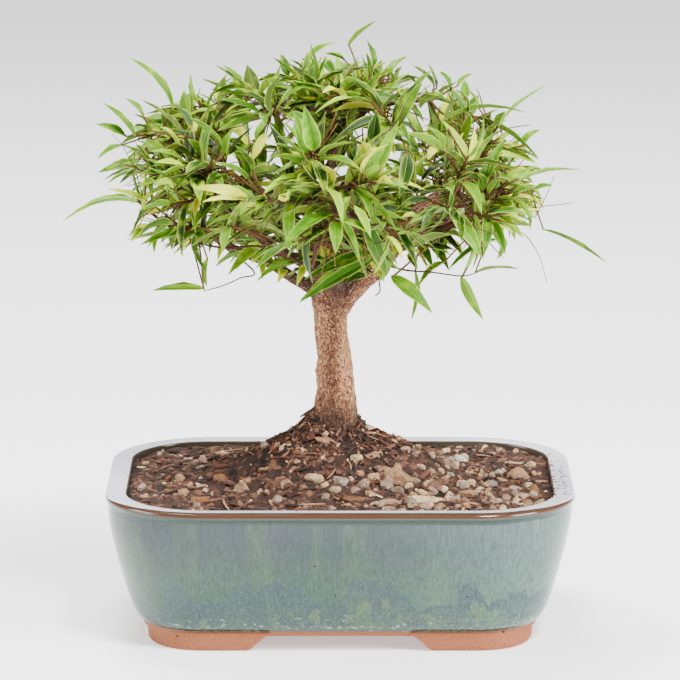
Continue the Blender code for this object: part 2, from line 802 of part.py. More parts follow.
# Leaves that stand out in the photograph: where their stalk and tip show, in its pixels, then
# the width in millimetres, the arch as a share of the length, how deep the stalk lies from the
# crown's middle (-1) to its front (1), how far the tip comes forward in millimetres, and the roll
LEAVES_SEEN = (
    Seen((140, 203), (62, 222), 6.5, 0.14, 0.0, 4, 10),
    Seen((173, 110), (128, 57), 5.5, 0.12, 0.0, 0, 20),
    Seen((135, 136), (102, 102), 5.0, 0.05, 0.1, 3, -20),
    Seen((126, 137), (95, 124), 4.8, 0.08, -0.1, 2, 30),
    Seen((187, 142), (140, 99), 6.5, 0.08, 0.45, 6, 0),
    Seen((189, 117), (184, 90), 5.5, 0.05, 0.5, 4, 40),
    Seen((190, 127), (193, 173), 5.5, 0.06, 0.7, 6, 10),
    Seen((140, 160), (97, 173), 4.5, 0.05, 0.1, 0, 50),
    Seen((150, 165), (102, 181), 5.0, 0.08, 0.4, 5, -10),
    Seen((170, 190), (130, 238), 7.5, 0.10, 0.5, 5, 0),
    Seen((192, 211), (146, 250), 6.0, 0.10, 0.3, 3, 20),
    Seen((205, 289), (151, 291), 4.5, 0.09, 0.2, 0, 10),
    Seen((246, 252), (215, 267), 5.5, 0.08, 0.7, 6, 0),
    Seen((267, 113), (214, 64), 5.8, 0.06, 0.35, 2, 15),
    Seen((264, 117), (215, 123), 6.0, 0.06, 0.6, 6, 0),
    Seen((324, 98), (275, 112), 6.0, 0.30, 0.55, 6, 0),
    Seen((300, 81), (272, 57), 5.0, 0.04, 0.1, 0, 0),
    Seen((316, 79), (310, 42), 5.6, 0.04, 0.0, 2, 30),
    Seen((304, 69), (336, 42), 4.6, 0.15, -0.1, 0, -20),
    Seen((310, 87), (373, 67), 6.0, 0.08, 0.3, 3, 0),
    Seen((348, 46), (377, 20), 4.4, 0.05, -0.6, 0, 30),
    Seen((373, 67), (367, 40), 4.8, 0.06, 0.0, 0, 40),
    Seen((381, 108), (346, 76), 6.6, 0.05, 0.55, 4, 25),
    Seen((394, 129), (423, 82), 6.5, 0.08, 0.5, 4, -10),
    Seen((314, 150), (304, 105), 7.7, 0.05, 0.95, 8, 0),
    Seen((303, 158), (277, 136), 6.2, 0.08, 0.95, 8, 10),
    Seen((312, 160), (326, 198), 5.8, 0.08, 0.95, 8, 0),
    Seen((320, 160), (361, 170), 5.6, 0.10, 0.9, 8, 0),
    Seen((248, 179), (214, 162), 5.6, 0.06, 0.9, 7, 0),
    Seen((253, 171), (235, 145), 5.6, 0.05, 0.85, 5, 10),
    Seen((372, 142), (377, 109), 6.2, 0.05, 0.75, 5, 0),
    Seen((408, 153), (399, 199), 6.0, 0.08, 0.85, 5, 0),
    Seen((448, 128), (443, 173), 5.2, 0.06, 0.7, 5, 20),
    Seen((440, 123), (528, 113), 5.4, 0.13, 0.3, 2, 20),
    Seen((470, 116), (540, 160), 5.2, 0.08, 0.2, 0, 15),
    Seen((477, 160), (499, 130), 5.6, 0.06, 0.5, 3, 0),
    Seen((448, 173), (516, 168), 6.0, 0.14, 0.55, 4, 10),
    Seen((505, 192), (582, 170), 5.6, 0.12, 0.1, 0, 5),
    Seen((498, 125), (547, 85), 4.2, 0.06, -0.5, -4, 20),
    Seen((542, 229), (609, 265), 3.6, 0.06, -0.3, 0, 30),
    Seen((496, 169), (494, 199), 5.0, 0.06, 0.5, 4, 0),
    Seen((473, 179), (482, 242), 5.0, 0.08, 0.6, 4, 25),
    Seen((499, 239), (447, 271), 5.8, 0.08, 0.2, 2, 10),
    Seen((462, 228), (410, 247), 5.8, 0.08, 0.5, 5, 10),
    Seen((385, 218), (418, 270), 6.6, 0.05, 0.8, 6, 0),
    Seen((391, 277), (433, 314), 6.8, 0.05, 0.35, 4, 0),
    Seen((415, 270), (411, 321), 4.6, 0.05, -0.2, 0, 20),
    Seen((461, 277), (484, 321), 6.0, 0.04, 0.1, 2, 0),
    Seen((474, 273), (520, 269), 5.0, 0.08, 0.1, 0, 10),
    Seen((370, 251), (304, 280), 7.0, 0.06, 0.6, 6, 5),
    Seen((373, 260), (298, 303), 6.8, 0.06, 0.5, 6, 15),
    Seen((342, 226), (303, 246), 6.0, 0.08, 0.85, 6, 0),
)
Leaf = namedtuple("Leaf", "base bend tip side width root")
STALK_RADIUS = 0.55
LEAF_LENGTHS = (17.0, 30.0)
LEAF_WIDTH_SHARE = 0.215
RIB_THICKNESS = 1.0
STALK_HALF_WIDTH = 0.5
SUNK = 0.35
FOLD = math.radians(22)
GOLDEN_TURN = math.radians(137.5)
CLEARANCE = 0.9
TRIES = 14
LONGEST_STALK = 30.0
LEAF_SPACING = 0.17
STALK_SHARES = (0.2, 0.42, 0.6, 0.75, 0.88)


def leaf_between(base, tip, width, arch, roll):
    """A leaf that arches upwards between two points; roll turns its face about that line.

    Its root is where its stalk leaves the shoot, or None where the blade starts right there."""
    chord = tip - base
    along = chord.normalized()
    up = Vector((0.0, 0.0, 1.0))
    if abs(along.z) > 0.85:
        up = crown_outward(base)
    side = along.cross(up).normalized()
    rise = side.cross(along)
    angle = math.radians(roll)
    side = side * math.cos(angle) + rise * math.sin(angle)
    rise = side.cross(along)
    bend = base + chord * 0.45 + rise * (2 * arch * chord.length)
    return Leaf(base, bend, tip, side, width, None)


def along_leaf(leaf, t):
    """The midrib's point, its direction and the way its face looks, at share t."""
    p = leaf.base * (1 - t) ** 2 + leaf.bend * (2 * t * (1 - t)) + leaf.tip * t**2
    way = (leaf.bend - leaf.base) * (1 - t) + (leaf.tip - leaf.bend) * t
    face = leaf.side.cross(way).normalized()
    return p, way.normalized(), face


def blade_width(t):
    """Half width as a share of the widest: full near the stalk, drawn out to the tip."""
    return t**0.75 * (1 - t) ** 1.15 / 0.2795


def section(leaf, t, extra):
    """Left edge, rib, right edge and the rib's underside of a folded blade, extra swelling it."""
    p, _, face = along_leaf(leaf, t)
    half = max(leaf.width / 2 * blade_width(t), STALK_HALF_WIDTH) + extra / 2
    across = leaf.side * (half * math.cos(FOLD))
    edge = p + face * (half * math.sin(FOLD))
    under = p - face * (RIB_THICKNESS + extra / 2)
    return [edge - across, p + face * (extra / 2), edge + across, under]


def leaf_solids(leaf, extra=0.0):
    """A leaf's blade, with its stalk drawn out of it, or as a twig where the stalk turns back."""
    if leaf.root is None:
        return [blade(leaf, extra)]
    _, way, _ = along_leaf(leaf, 0.0)
    run = (leaf.base - leaf.root).normalized()
    if run.dot(way) > STALK_TURN:
        return [blade(leaf, extra)]
    radius = STALK_RADIUS + extra / 2
    end = leaf.base + run * 0.5
    stalk = [np.array([*leaf.root, radius]), np.array([*end, radius])]
    return [tube(stalk, 4), blade(leaf._replace(root=None), extra)]


def blade(leaf, extra=0.0):
    """Points and faces of one blade: pointed where it is sunk in its shoot, and at its tip."""
    if leaf.root is None:
        _, way, _ = along_leaf(leaf, 0.0)
        points = [leaf.base - way * SUNK]
    else:
        way = (leaf.base - leaf.root).normalized()
        points = [leaf.root - way * SUNK, *section(leaf, 0.0, extra)]
    for t in STATIONS:
        points += section(leaf, t, extra)
    points.append(leaf.tip)
    last = len(points) - 5
    faces = [(0, 1 + (i + 1) % 4, 1 + i) for i in range(4)]
    for low in range(1, last, 4):
        high = low + 4
        for i in range(4):
            j = (i + 1) % 4
            faces += split(low + i, low + j, high + j, high + i, i in (0, 3))
    faces += [(last + i, last + (i + 1) % 4, last + 4) for i in range(4)]
    return [tuple(p) for p in points], faces


def split(a, b, c, d, first):
    """Two triangles of a quad, cut along one diagonal or the other."""
    if first:
        return [(a, b, c), (a, c, d)]
    return [(a, b, d), (b, c, d)]


STATIONS = (0.24, 0.62)
STALK_TURN = 0.45


def point_on_shoot(shoot, share):
    """The shoot's middle line and direction at a share of its length."""
    at = share * SHOOT_STEPS
    low = min(int(at), SHOOT_STEPS - 1)
    span = shoot.route[low + 1] - shoot.route[low]
    here = shoot.route[low] + span * (at - low)
    return Vector(here[:3]), Vector(span[:3]).normalized()


def nearest_shoot(shoots, point, nudge):
    """How far off the closest shoot is, which one, and the place on it that a stalk leaves."""
    best = None
    for shoot in shoots:
        for share in STALK_SHARES:
            place, _ = point_on_shoot(shoot, share + nudge)
            distance = (place - point).length
            if best is None or distance < best[0]:
                best = (distance, shoot, place)
    return best


def seen_leaf(seen):
    """The leaf in space, its stalk at its share of the crown's depth behind that pixel."""
    flat = seen_at_depth(*seen.base, 0.0)
    offset = flat - CROWN_CENTRE
    spread = CROWN_ABOVE if offset.z > 0 else CROWN_BELOW
    inside = 1 - (offset.x / spread.x) ** 2 - (offset.z / (spread.z + 8.0)) ** 2
    front = CROWN_ABOVE.y * math.sqrt(max(inside, 0.05))
    base = seen_at_depth(*seen.base, -front * seen.depth)
    tip = seen_at_depth(*seen.tip, base.y - seen.lean)
    return leaf_between(base, tip, seen.width, seen.arch, seen.roll)


def plan_leaves(shoots, taken):
    """The leaves of each shoot: those that the photograph shows, then the rest by rule."""
    leaves = {shoot.name: [] for shoot in shoots}
    for number, seen in enumerate(LEAVES_SEEN):
        leaf = seen_leaf(seen)
        nudge = 0.02 * (number % 5)
        distance, shoot, root = nearest_shoot(shoots, leaf.base, nudge)
        leaf = leaf._replace(root=root)
        if distance < LONGEST_STALK and has_room(leaf, shoot, taken):
            leaves[shoot.name].append(leaf)
            take_room(leaf, shoot, taken)
    draw = np.random.default_rng(SEED)
    for shoot in shoots:
        for k in range(LEAVES_PER_SPRAY):
            for attempt in range(TRIES):
                leaf = grown_leaf(shoot, k, attempt, draw)
                if not has_room(leaf, shoot, taken) or crosses(leaf, leaves[shoot.name]):
                    continue
                leaves[shoot.name].append(leaf)
                take_room(leaf, shoot, taken)
                break
    return leaves


def take_room(leaf, shoot, taken):
    for solid in leaf_solids(leaf):
        taken.add(shoot.name, *solid)


def has_room(leaf, shoot, taken):
    return not any(taken.meets(shoot.name, *solid) for solid in leaf_solids(leaf, CLEARANCE))


def crosses(leaf, others):
    """True if the blade, away from its stalk, would cut another leaf of the same spray."""
    outer = leaf._replace(base=leaf.base.lerp(leaf.bend, 0.3))
    skin = tree_of(*blade(outer))
    solids = [solid for other in others for solid in leaf_solids(other)]
    return any(tree_of(*solid).overlap(skin) for solid in solids)


def grown_leaf(shoot, k, attempt, draw):
    """The k-th leaf up a shoot: each a golden turn on from the last, the end one straight on."""
    base, axis = point_on_shoot(shoot, 0.98 - LEAF_SPACING * k)
    outward = crown_outward(base)
    axis = (axis + outward * 0.5).normalized()
    side = axis.orthogonal().normalized()
    other = axis.cross(side)
    angle = GOLDEN_TURN * k + draw.uniform(0, 2 * math.pi if attempt else 1.5)
    open_angle = math.radians(draw.uniform(12, 30) if k == 0 else draw.uniform(38, 72))
    away = side * math.cos(angle) + other * math.sin(angle)
    way = axis * math.cos(open_angle) + away * math.sin(open_angle)
    way = (way + Vector((0.0, 0.0, draw.uniform(-0.25, 0.12)))).normalized()
    length = draw.uniform(*LEAF_LENGTHS) * (1.0 - 0.02 * attempt)
    width = length * LEAF_WIDTH_SHARE * draw.uniform(0.85, 1.15)
    width = min(max(width, 4.3), 7.2)
    arch = draw.uniform(0.03, 0.14)
    return leaf_between(base, base + way * length, width, arch, draw.uniform(-35, 35))


def build_spray(shoot, leaves, parts, cutters, material):
    """A shoot joined with its leaves; the last ones are left off where the join stays open."""
    for count in range(len(leaves), 0, -1):
        for solver in ("EXACT", "MANIFOLD"):
            spray = add_object(shoot.name, *tube(shoot.route, SHOOT_SIDES), parts, material)
            for leaf in leaves[:count]:
                for solid in leaf_solids(leaf):
                    add_object("leaf", *solid, cutters)
            boolean(spray, "UNION", cutters, solver)
            empty_collection(cutters)
            if is_closed(spray):
                return spray
            bpy.data.objects.remove(spray, do_unlink=True)


def main():
    clear_scene()
    parts = make_collection("ficus_bonsai")
    cutters = make_collection("cutters")
    glaze = make_material("glaze", 0.2)
    earth = make_material("soil", 0.95)
    bark_skin = make_material("bark", 0.85)
    leaf_skin = make_material("leaf", 0.4)
    plastic = make_material("mesh", 0.6)

    build_pot(parts, cutters, glaze)
    for side in (-1, 1):
        build_drain_mesh(side, parts, cutters, plastic)
    build_soil(parts, cutters, earth)
    boughs, shoots, taken = plan_wood()
    build_trunk(parts, cutters, bark_skin, boughs)
    leaves = plan_leaves(shoots, taken)
    for shoot in shoots:
        build_spray(shoot, leaves[shoot.name], parts, cutters, leaf_skin)
    bpy.data.collections.remove(cutters)


main()
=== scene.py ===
import math
from collections import namedtuple

import bpy
import numpy as np
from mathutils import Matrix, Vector
from mathutils.bvhtree import BVHTree


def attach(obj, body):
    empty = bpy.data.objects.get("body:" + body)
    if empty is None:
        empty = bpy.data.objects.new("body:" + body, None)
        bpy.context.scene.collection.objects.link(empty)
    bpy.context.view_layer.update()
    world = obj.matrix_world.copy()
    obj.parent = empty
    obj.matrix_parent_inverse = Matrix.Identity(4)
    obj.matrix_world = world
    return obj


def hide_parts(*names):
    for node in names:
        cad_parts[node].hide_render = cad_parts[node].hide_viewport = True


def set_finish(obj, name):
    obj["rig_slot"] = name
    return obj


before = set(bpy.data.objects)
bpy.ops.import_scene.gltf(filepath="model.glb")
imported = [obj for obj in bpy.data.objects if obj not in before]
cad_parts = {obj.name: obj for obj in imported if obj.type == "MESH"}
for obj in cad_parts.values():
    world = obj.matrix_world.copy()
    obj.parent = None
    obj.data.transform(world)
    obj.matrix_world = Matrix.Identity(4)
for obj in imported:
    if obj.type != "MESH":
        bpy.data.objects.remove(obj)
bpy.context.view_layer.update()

# Pot
# One stoneware piece, pressed in a mould, 203 by 152 mm at its flat rim. It was dipped in a
# blue-green glaze that ran, pooled under the lip and above the foot, and broke brown on the edge.
# The foot ring is bare red clay, cut through on each side into four feet.

MM = 0.001
POT_LENGTH, POT_WIDTH = 203.0, 152.0
RIM_CORNER_RADIUS = 45.0
CORNER_SHRINK = 1.12
RIM_TOP_WIDTH = 9.4
GLAZE_END = 8.9
# How far the wall stands in from the rim's outer edge, against height: underneath, up, over, down
POT_WALL = (
    (30.0, 6.5), (18.6, 6.5), (17.0, 6.8), (16.3, 7.7), (15.8, 9.0), (14.5, 10.2), (12.8, 12.5),
    (11.0, 16.4), (9.7, 20.0), (7.0, 28.9), (4.6, 37.8), (2.6, 46.7), (1.7, 51.6), (1.15, 56.5),
    (1.1, 59.4), (0.85, 60.6), (0.2, 61.3), (0.0, 62.1), (0.1, 62.9), (0.6, 63.6), (1.5, 64.0),
    (4.8, 64.05), (8.2, 63.95), (9.1, 63.5), (9.4, 62.6), (9.7, 60.0), (10.3, 55.0), (14.5, 33.0),
    (20.0, 17.0), (24.0, 14.0),
)
FOOT_WALL = (
    (21.8, 8.4), (18.2, 8.4), (18.2, 6.0), (18.3, 3.2), (18.6, 1.3), (19.4, 0.3), (20.9, 0.0),
    (30.2, 0.0), (31.4, 0.4), (32.2, 1.4), (32.6, 4.0), (32.6, 8.4),
)
# Half the gap between two feet against height, and how much closer the long sides' feet stand
FOOT_GAP = ((0.0, 41.0), (0.4, 39.3), (1.5, 37.6), (3.0, 36.3), (4.5, 35.0), (5.6, 33.6),
            (6.5, 31.6), (8.4, 30.0))
GAP_LESS_SHORT, FOOT_FORWARD = 13.0, 2.4
POT_STEPS = (18, 30, 18)
DRAIN_X, DRAIN_RADIUS = 38.0, 8.0


def rough(points, size, seed):
    """A smooth random field from -1 to 1: random values on a lattice of that cell size, and
    between them their blend by a smooth step."""
    cell = np.asarray(points, float) / size
    low = np.floor(cell).astype(np.int64)
    share = cell - low
    share = share * share * (3 - 2 * share)
    total = np.zeros(len(cell))
    for corner in np.ndindex(2, 2, 2):
        mixed = (low + corner) @ np.array([374761393, 668265263, 1440662683]) + seed * 974634777
        mixed = (mixed ^ (mixed >> 13)) * 1274126177
        value = ((mixed ^ (mixed >> 16)) & 65535) / 32767.5 - 1
        total += value * np.prod(np.where(corner, share, 1 - share), axis=1)
    return total


def spline(points, steps):
    """A smooth curve through the points: on each span a cubic whose slope at either end is half
    the way between that end's two neighbours."""
    p = np.array(points, float)
    p = np.vstack([2 * p[0] - p[1], p, 2 * p[-1] - p[-2]])
    t = (np.arange(steps) / steps)[None, :, None]
    a, b, c, d = (p[k : len(p) - 3 + k][:, None] for k in range(4))
    curve = 2 * b + (c - a) * t + (2 * a - 5 * b + 4 * c - d) * t**2
    curve = (curve + (3 * b - a - 3 * c + d) * t**3) / 2
    return np.vstack([curve.reshape(-1, p.shape[1]), p[-2]])


def pot_outline(steps):
    """Angle and corner place of each point round the pot, anticlockwise from its right side:
    a quarter arc about each corner's centre, then a straight side on which the centre slides
    from that corner's to the next one's. Steps are those of an arc, a long and a short side."""
    corners = np.array([(1, 1), (-1, 1), (-1, -1), (1, -1)], float)
    angles, places = [], []
    for quarter, corner in enumerate(corners):
        after = corners[(quarter + 1) % 4]
        arc = np.arange(steps[0]) / steps[0]
        count = steps[1 + quarter % 2]
        side = (np.arange(count) / count)[:, None]
        angles += [quarter + arc, np.full(count, quarter + 1.0)]
        places += [np.repeat(corner[None], steps[0], 0), corner + (after - corner) * side]
    return np.radians(90 * np.hstack(angles)), np.vstack(places)


def pot_rings(insets, heights, steps=POT_STEPS):
    """Rings round the pot, one for each inset from the rim's edge and height: each point is its
    corner's centre plus the corner's radius in the direction of its angle."""
    insets, heights = np.asarray(insets, float)[:, None], np.asarray(heights, float)[:, None]
    angle, place = pot_outline(steps)
    radius = RIM_CORNER_RADIUS - CORNER_SHRINK * insets
    x = place[:, 0] * (POT_LENGTH / 2 - insets - radius) + radius * np.cos(angle)
    y = place[:, 1] * (POT_WIDTH / 2 - insets - radius) + radius * np.sin(angle)
    return np.stack([x, y, np.broadcast_to(heights, x.shape)], -1)


def grid_faces(rows, columns, closed):
    """Quads between neighbouring rows and columns of a grid of points, wrapped round if closed."""
    row = np.arange(rows - 1)[:, None] * columns
    here = np.arange(columns if closed else columns - 1)
    after = (here + 1) % columns
    corners = (row + here, row + after, row + columns + after, row + columns + here)
    return np.stack(corners, -1).reshape(-1, 4)


def closed_skin(rings):
    """Points and faces of a closed skin over rings of points, with a flat cap at either end."""
    rows, columns = rings.shape[:2]
    caps = [tuple(range(columns))[::-1], tuple(range((rows - 1) * columns, rows * columns))]
    return rings.reshape(-1, 3), [*grid_faces(rows, columns, True).tolist(), *caps]


def merged(solids):
    """Points and faces of several solids as one list of each."""
    points = np.vstack([p for p, _ in solids])
    starts = np.cumsum([0] + [len(p) for p, _ in solids[:-1]])
    return points, [tuple(i + s for i in f) for (_, fs), s in zip(solids, starts) for f in fs]


def set_fields(mesh, fields):
    """Gives a mesh fields by name: a value or a colour for each of its points or its faces."""
    for name, values in fields.items():
        values = np.asarray(values, np.float32)
        kind, member = ("FLOAT", "value") if values.ndim == 1 else ("FLOAT_VECTOR", "vector")
        domain = "POINT" if len(values) == len(mesh.vertices) else "FACE"
        mesh.attributes.new(name, kind, domain).data.foreach_set(member, values.ravel())


def add_piece(name, points, faces, material, slot, nodes=(), sharp=None, **fields):
    """A piece of the object from points in millimetres, with the fields that its material reads.
    Edges that turn by more than the sharp angle, in degrees, stay sharp."""
    mesh = bpy.data.meshes.new(name)
    mesh.from_pydata(np.asarray(points) * MM, [], faces)
    set_fields(mesh, fields)
    mesh.materials.append(material)
    mesh.shade_smooth()
    if sharp is not None:
        mesh.set_sharp_from_angle(angle=math.radians(sharp))
    piece = bpy.data.objects.new(name, mesh)
    bpy.context.scene.collection.objects.link(piece)
    if nodes:
        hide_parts(*nodes)
    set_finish(piece, slot)
    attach(piece, "root")
    return piece


def paint(code):
    """Linear red, green, blue and alpha of an sRGB hex colour."""
    shares = [int(code[k : k + 2], 16) / 255 for k in (1, 3, 5)]
    linear = [s / 12.92 if s <= 0.04045 else ((s + 0.055) / 1.055) ** 2.4 for s in shares]
    return (*linear, 1.0)


def feed(tree, node, inputs):
    """Fills a node's inputs, given by name or in order: each is a value, a hex colour or another
    node's output."""
    named = inputs if isinstance(inputs, dict) else dict(enumerate(inputs))
    for name, value in named.items():
        if isinstance(value, bpy.types.NodeSocket):
            tree.links.new(value, node.inputs[name])
        else:
            node.inputs[name].default_value = paint(value) if isinstance(value, str) else value


def add_node(tree, kind, inputs=(), **settings):
    """The outputs of a new node that has those settings and inputs."""
    node = tree.nodes.new("ShaderNode" + kind)
    for name, value in settings.items():
        setattr(node, name, value)
    feed(tree, node, inputs)
    return node.outputs


def new_material(name):
    """An empty node material, its node tree, and places on the object in metres."""
    material = bpy.data.materials.new(name)
    material.use_nodes = True
    return material, material.node_tree, add_node(material.node_tree, "TexCoord")["Object"]


def in_layers(tree, tone, layers):
    """A tone under layers of other colours, laid on in turn. A layer is how much covers, the
    colour, and OVERLAY where it only lightens and darkens what is below."""
    for share, colour, *blend in layers:
        tone = add_node(
            tree, "Mix", {0: share, 6: tone, 7: colour}, data_type="RGBA",
            blend_type=blend[0] if blend else "MIX",
        )[2]
    return tone


def finished(material, tone, layers, gloss, relief, depth, strength=1.0):
    """The material in its layers of colour, with that gloss, and a relief of a depth in metres."""
    tree = material.node_tree
    bump = add_node(tree, "Bump", {"Height": relief, "Distance": depth, "Strength": strength})
    colour = in_layers(tree, tone, layers)
    skin = {"Base Color": colour, "Normal": bump[0], **gloss}
    feed(tree, tree.nodes["Principled BSDF"], skin)
    return material


def scallops(tree, place, height, width, top, rise, droop):
    """How far above a scalloped line a point lies, in metres, and the random value of its cell.
    The line is highest over the middle of each upright cell of the given width, droops by the
    square of the distance from it, and rises by the cell's random value."""
    flat = {"Vector": place, "Location": (width, -width, 0), "Scale": (1, 1, 0)}
    flat = add_node(tree, "Mapping", flat)[0]
    cell = add_node(tree, "TexVoronoi", {"Vector": flat, "Scale": 1000 / width})
    seed = add_node(tree, "SeparateXYZ", (cell["Color"],))[0]
    square = add_node(tree, "Math", (cell[0], cell[0]), operation="MULTIPLY")[0]
    above = add_node(tree, "Math", (square, droop * MM, height), operation="MULTIPLY_ADD")[0]
    above = add_node(tree, "Math", (seed, -rise * MM, above), operation="MULTIPLY_ADD")[0]
    return add_node(tree, "Math", (above, top * MM), operation="SUBTRACT")[0], seed


# Settings of a range that starts and stops softly
SOFT = {"interpolation_type": "SMOOTHSTEP"}


def glazed_stoneware():
    """Runny blue-green stoneware glaze: hard and glassy over soft vertical streaks, with
    blue-grey scallops and pale crystals where it gathered low down, and bare brick-red clay."""
    material, tree, place = new_material("glazed_stoneware")
    across, _, height = add_node(tree, "SeparateXYZ", (place,))
    # Streaks 0.9 mm wide and ten times as long, as the glaze ran down, and crystals that lie flat
    ran, lain = (
        add_node(tree, "Mapping", {"Vector": place, "Scale": (1.0, 1.0, upright)})[0]
        for upright in (0.1, 1.7)
    )
    streak, broad, cloud, fine, ragged, crystal, grog = (
        add_node(tree, "TexNoise", {"Vector": at, "Scale": 1000 / size, "Detail": detail})[0]
        for at, size, detail in (
            (ran, 0.9, 3.0), (ran, 17.0, 2.0), (place, 26.0, 3.0), (place, 0.55, 2.0),
            (place, 2.6, 3.0), (lain, 2.2, 2.5), (place, 1.2, 5.0),
        )
    )

    # Teal below and slate above, parted at a height that wanders by the broad streaks, with lilac
    # clouds and sage-green runs, and all of it paler towards the right end as a painted sheen
    sag = add_node(tree, "Math", (broad, -0.5), operation="ADD")[0]
    level = add_node(tree, "Math", (sag, 0.03, height), operation="MULTIPLY_ADD")[0]
    upper = add_node(tree, "MapRange", (level, 0.026, 0.052), **SOFT)[0]
    lilac = add_node(tree, "MapRange", (cloud, 0.52, 0.72, 0, 0.3))[0]
    sage = add_node(tree, "MapRange", (broad, 0.48, 0.64, 0, 0.6))[0]
    # Painted sheen: the glaze is made paler towards the right end, where light falls on it
    paler = add_node(tree, "MapRange", (across, 0.0, 0.075, 0, 0.26), **SOFT)[0]
    layers = [(upper, "#273538"), (lilac, "#444049"), (sage, "#3D5C3A"), (paler, "#6B8580")]

    # Low down the glaze gathered in scallops about 13 mm wide, blue-grey along their line
    frayed = add_node(tree, "Math", (ragged, 0.008, height), operation="MULTIPLY_ADD")[0]
    ran_on = add_node(tree, "Math", (cloud, -0.5), operation="ADD")[0]
    frayed = add_node(tree, "Math", (ran_on, -0.05, frayed), operation="MULTIPLY_ADD")[0]
    above = scallops(tree, place, frayed, 13.0, 30.0, 9.0, 17.0)[0]
    inside = add_node(tree, "MapRange", (above, 0.002, -0.0015), **SOFT)[0]
    bluish = add_node(tree, "MapRange", (above, -0.014, -0.0015, 0.25, 0.78))[0]
    bluish = add_node(tree, "Math", (bluish, inside), operation="MULTIPLY")[0]
    # Smaller scallops, each edged in blue-grey, and yellow-green ovals inside many of them
    inner, chance = scallops(tree, place, frayed, 5.2, 19.0, 8.0, 13.0)
    ring = add_node(tree, "Math", (inner,), operation="ABSOLUTE")[0]
    ring = add_node(tree, "MapRange", (ring, 0.0019, 0.0002, 0, 0.4), **SOFT)[0]
    heart = add_node(tree, "MapRange", (inner, 0.0002, -0.0048), **SOFT)[0]
    tail = add_node(tree, "MapRange", (inner, -0.0115, -0.006), **SOFT)[0]
    some = add_node(tree, "MapRange", (chance, 0.3, 0.8, 0, 0.4))[0]
    for part in (tail, some):
        heart = add_node(tree, "Math", (heart, part), operation="MULTIPLY")[0]
    layers += [(bluish, "#273C43"), (ring, "#2A3A44"), (heart, "#55703F")]

    # Pale crystals, longer than high, that came out of the glaze just above the foot
    lowest = add_node(tree, "MapRange", (height, 0.025, 0.011, -0.2, 0.045))[0]
    speck = add_node(tree, "Math", (crystal, lowest), operation="ADD")[0]
    speck = add_node(tree, "MapRange", (speck, 0.62, 0.69, 0, 0.62), **SOFT)[0]
    foamy = add_node(tree, "MapRange", (fine, 0.55, 0.68, 0, 0.15), **SOFT)[0]
    foamy = add_node(tree, "Math", (foamy, inside), operation="MULTIPLY")[0]
    last = add_node(tree, "MapRange", (height, 0.0112, 0.0098, 0, 0.7), **SOFT)[0]
    layers += [(speck, "#8FA896"), (foamy, "#71867A"), (last, "#1D2F2D")]
    # Streaks and fine mottling lighten and darken everything by a few hundredths
    layers += [(0.75, streak, "OVERLAY"), (0.7, fine, "OVERLAY")]

    # The rim's top is pale, a painted reflection of the bright room, with the glaze broken brown
    # along its edge and pooled green below it; the inner wall is dark olive-brown painted shade
    rim, inner_wall, pool, lip = (
        add_node(tree, "Attribute", attribute_name=name)["Fac"]
        for name in ("rim_top", "inner_wall", "pool", "lip")
    )
    pooled = in_layers(tree, "#081B13", [(streak, "#164033")])
    thin = add_node(tree, "Math", (streak, 0.7, lip), operation="MULTIPLY_ADD")[0]
    thin = add_node(tree, "MapRange", (thin, 0.72, 0.98), **SOFT)[0]
    brown = in_layers(tree, "#2B1810", [(fine, "#5E4230")])
    layers += [(rim, "#DDD7E2"), (inner_wall, "#443C30"), (pool, pooled), (thin, brown)]
    # Pinholes a millimetre across, in few cells, but in most of those at the left end
    pit = add_node(tree, "TexVoronoi", {"Vector": place, "Scale": 1000 / 3.6})
    seed = add_node(tree, "SeparateXYZ", (pit["Color"],))[1]
    often = add_node(tree, "MapRange", (across, -0.085, -0.095, 0, 0.6))[0]
    rare = add_node(tree, "Math", (seed, often), operation="ADD")[0]
    rare = add_node(tree, "MapRange", (rare, 0.93, 0.95))[0]
    dot = add_node(tree, "MapRange", (pit[0], 0.2, 0.12))[0]
    pitted = add_node(tree, "Math", (dot, rare), operation="MULTIPLY")[0]
    tone = in_layers(tree, "#2C483B", [*layers, (pitted, "#1C1510")])

    # Bare clay below the glaze's end: brick-red and grained, with dark iron specks
    chosen = add_node(tree, "MapRange", (seed, 0.7, 0.74))[0]
    iron = add_node(tree, "Math", (dot, chosen), operation="MULTIPLY")[0]
    edge = add_node(tree, "Math", (streak, -0.0012, height), operation="MULTIPLY_ADD")[0]
    ends = (GLAZE_END - 0.85) * MM, (GLAZE_END - 0.45) * MM
    glazed = add_node(tree, "MapRange", (edge, *ends))[0]
    layers = [(grog, "#A4653F"), (iron, "#3A1E14"), (glazed, tone)]
    matt = add_node(tree, "MapRange", (glazed, 0, 1, 0.85, 0.13))[0]
    relief = add_node(tree, "Math", (speck, 0.5, cloud), operation="MULTIPLY_ADD")[0]
    relief = add_node(tree, "Math", (relief, pitted), operation="SUBTRACT")[0]
    bare = add_node(tree, "Math", (glazed, 1.0), operation="SUBTRACT")[0]
    relief = add_node(tree, "Math", (bare, grog, relief), operation="MULTIPLY_ADD")[0]
    gloss = {"Roughness": matt, "IOR": 1.5}
    return finished(material, "#6E361F", layers, gloss, relief, 0.0003, 0.35)


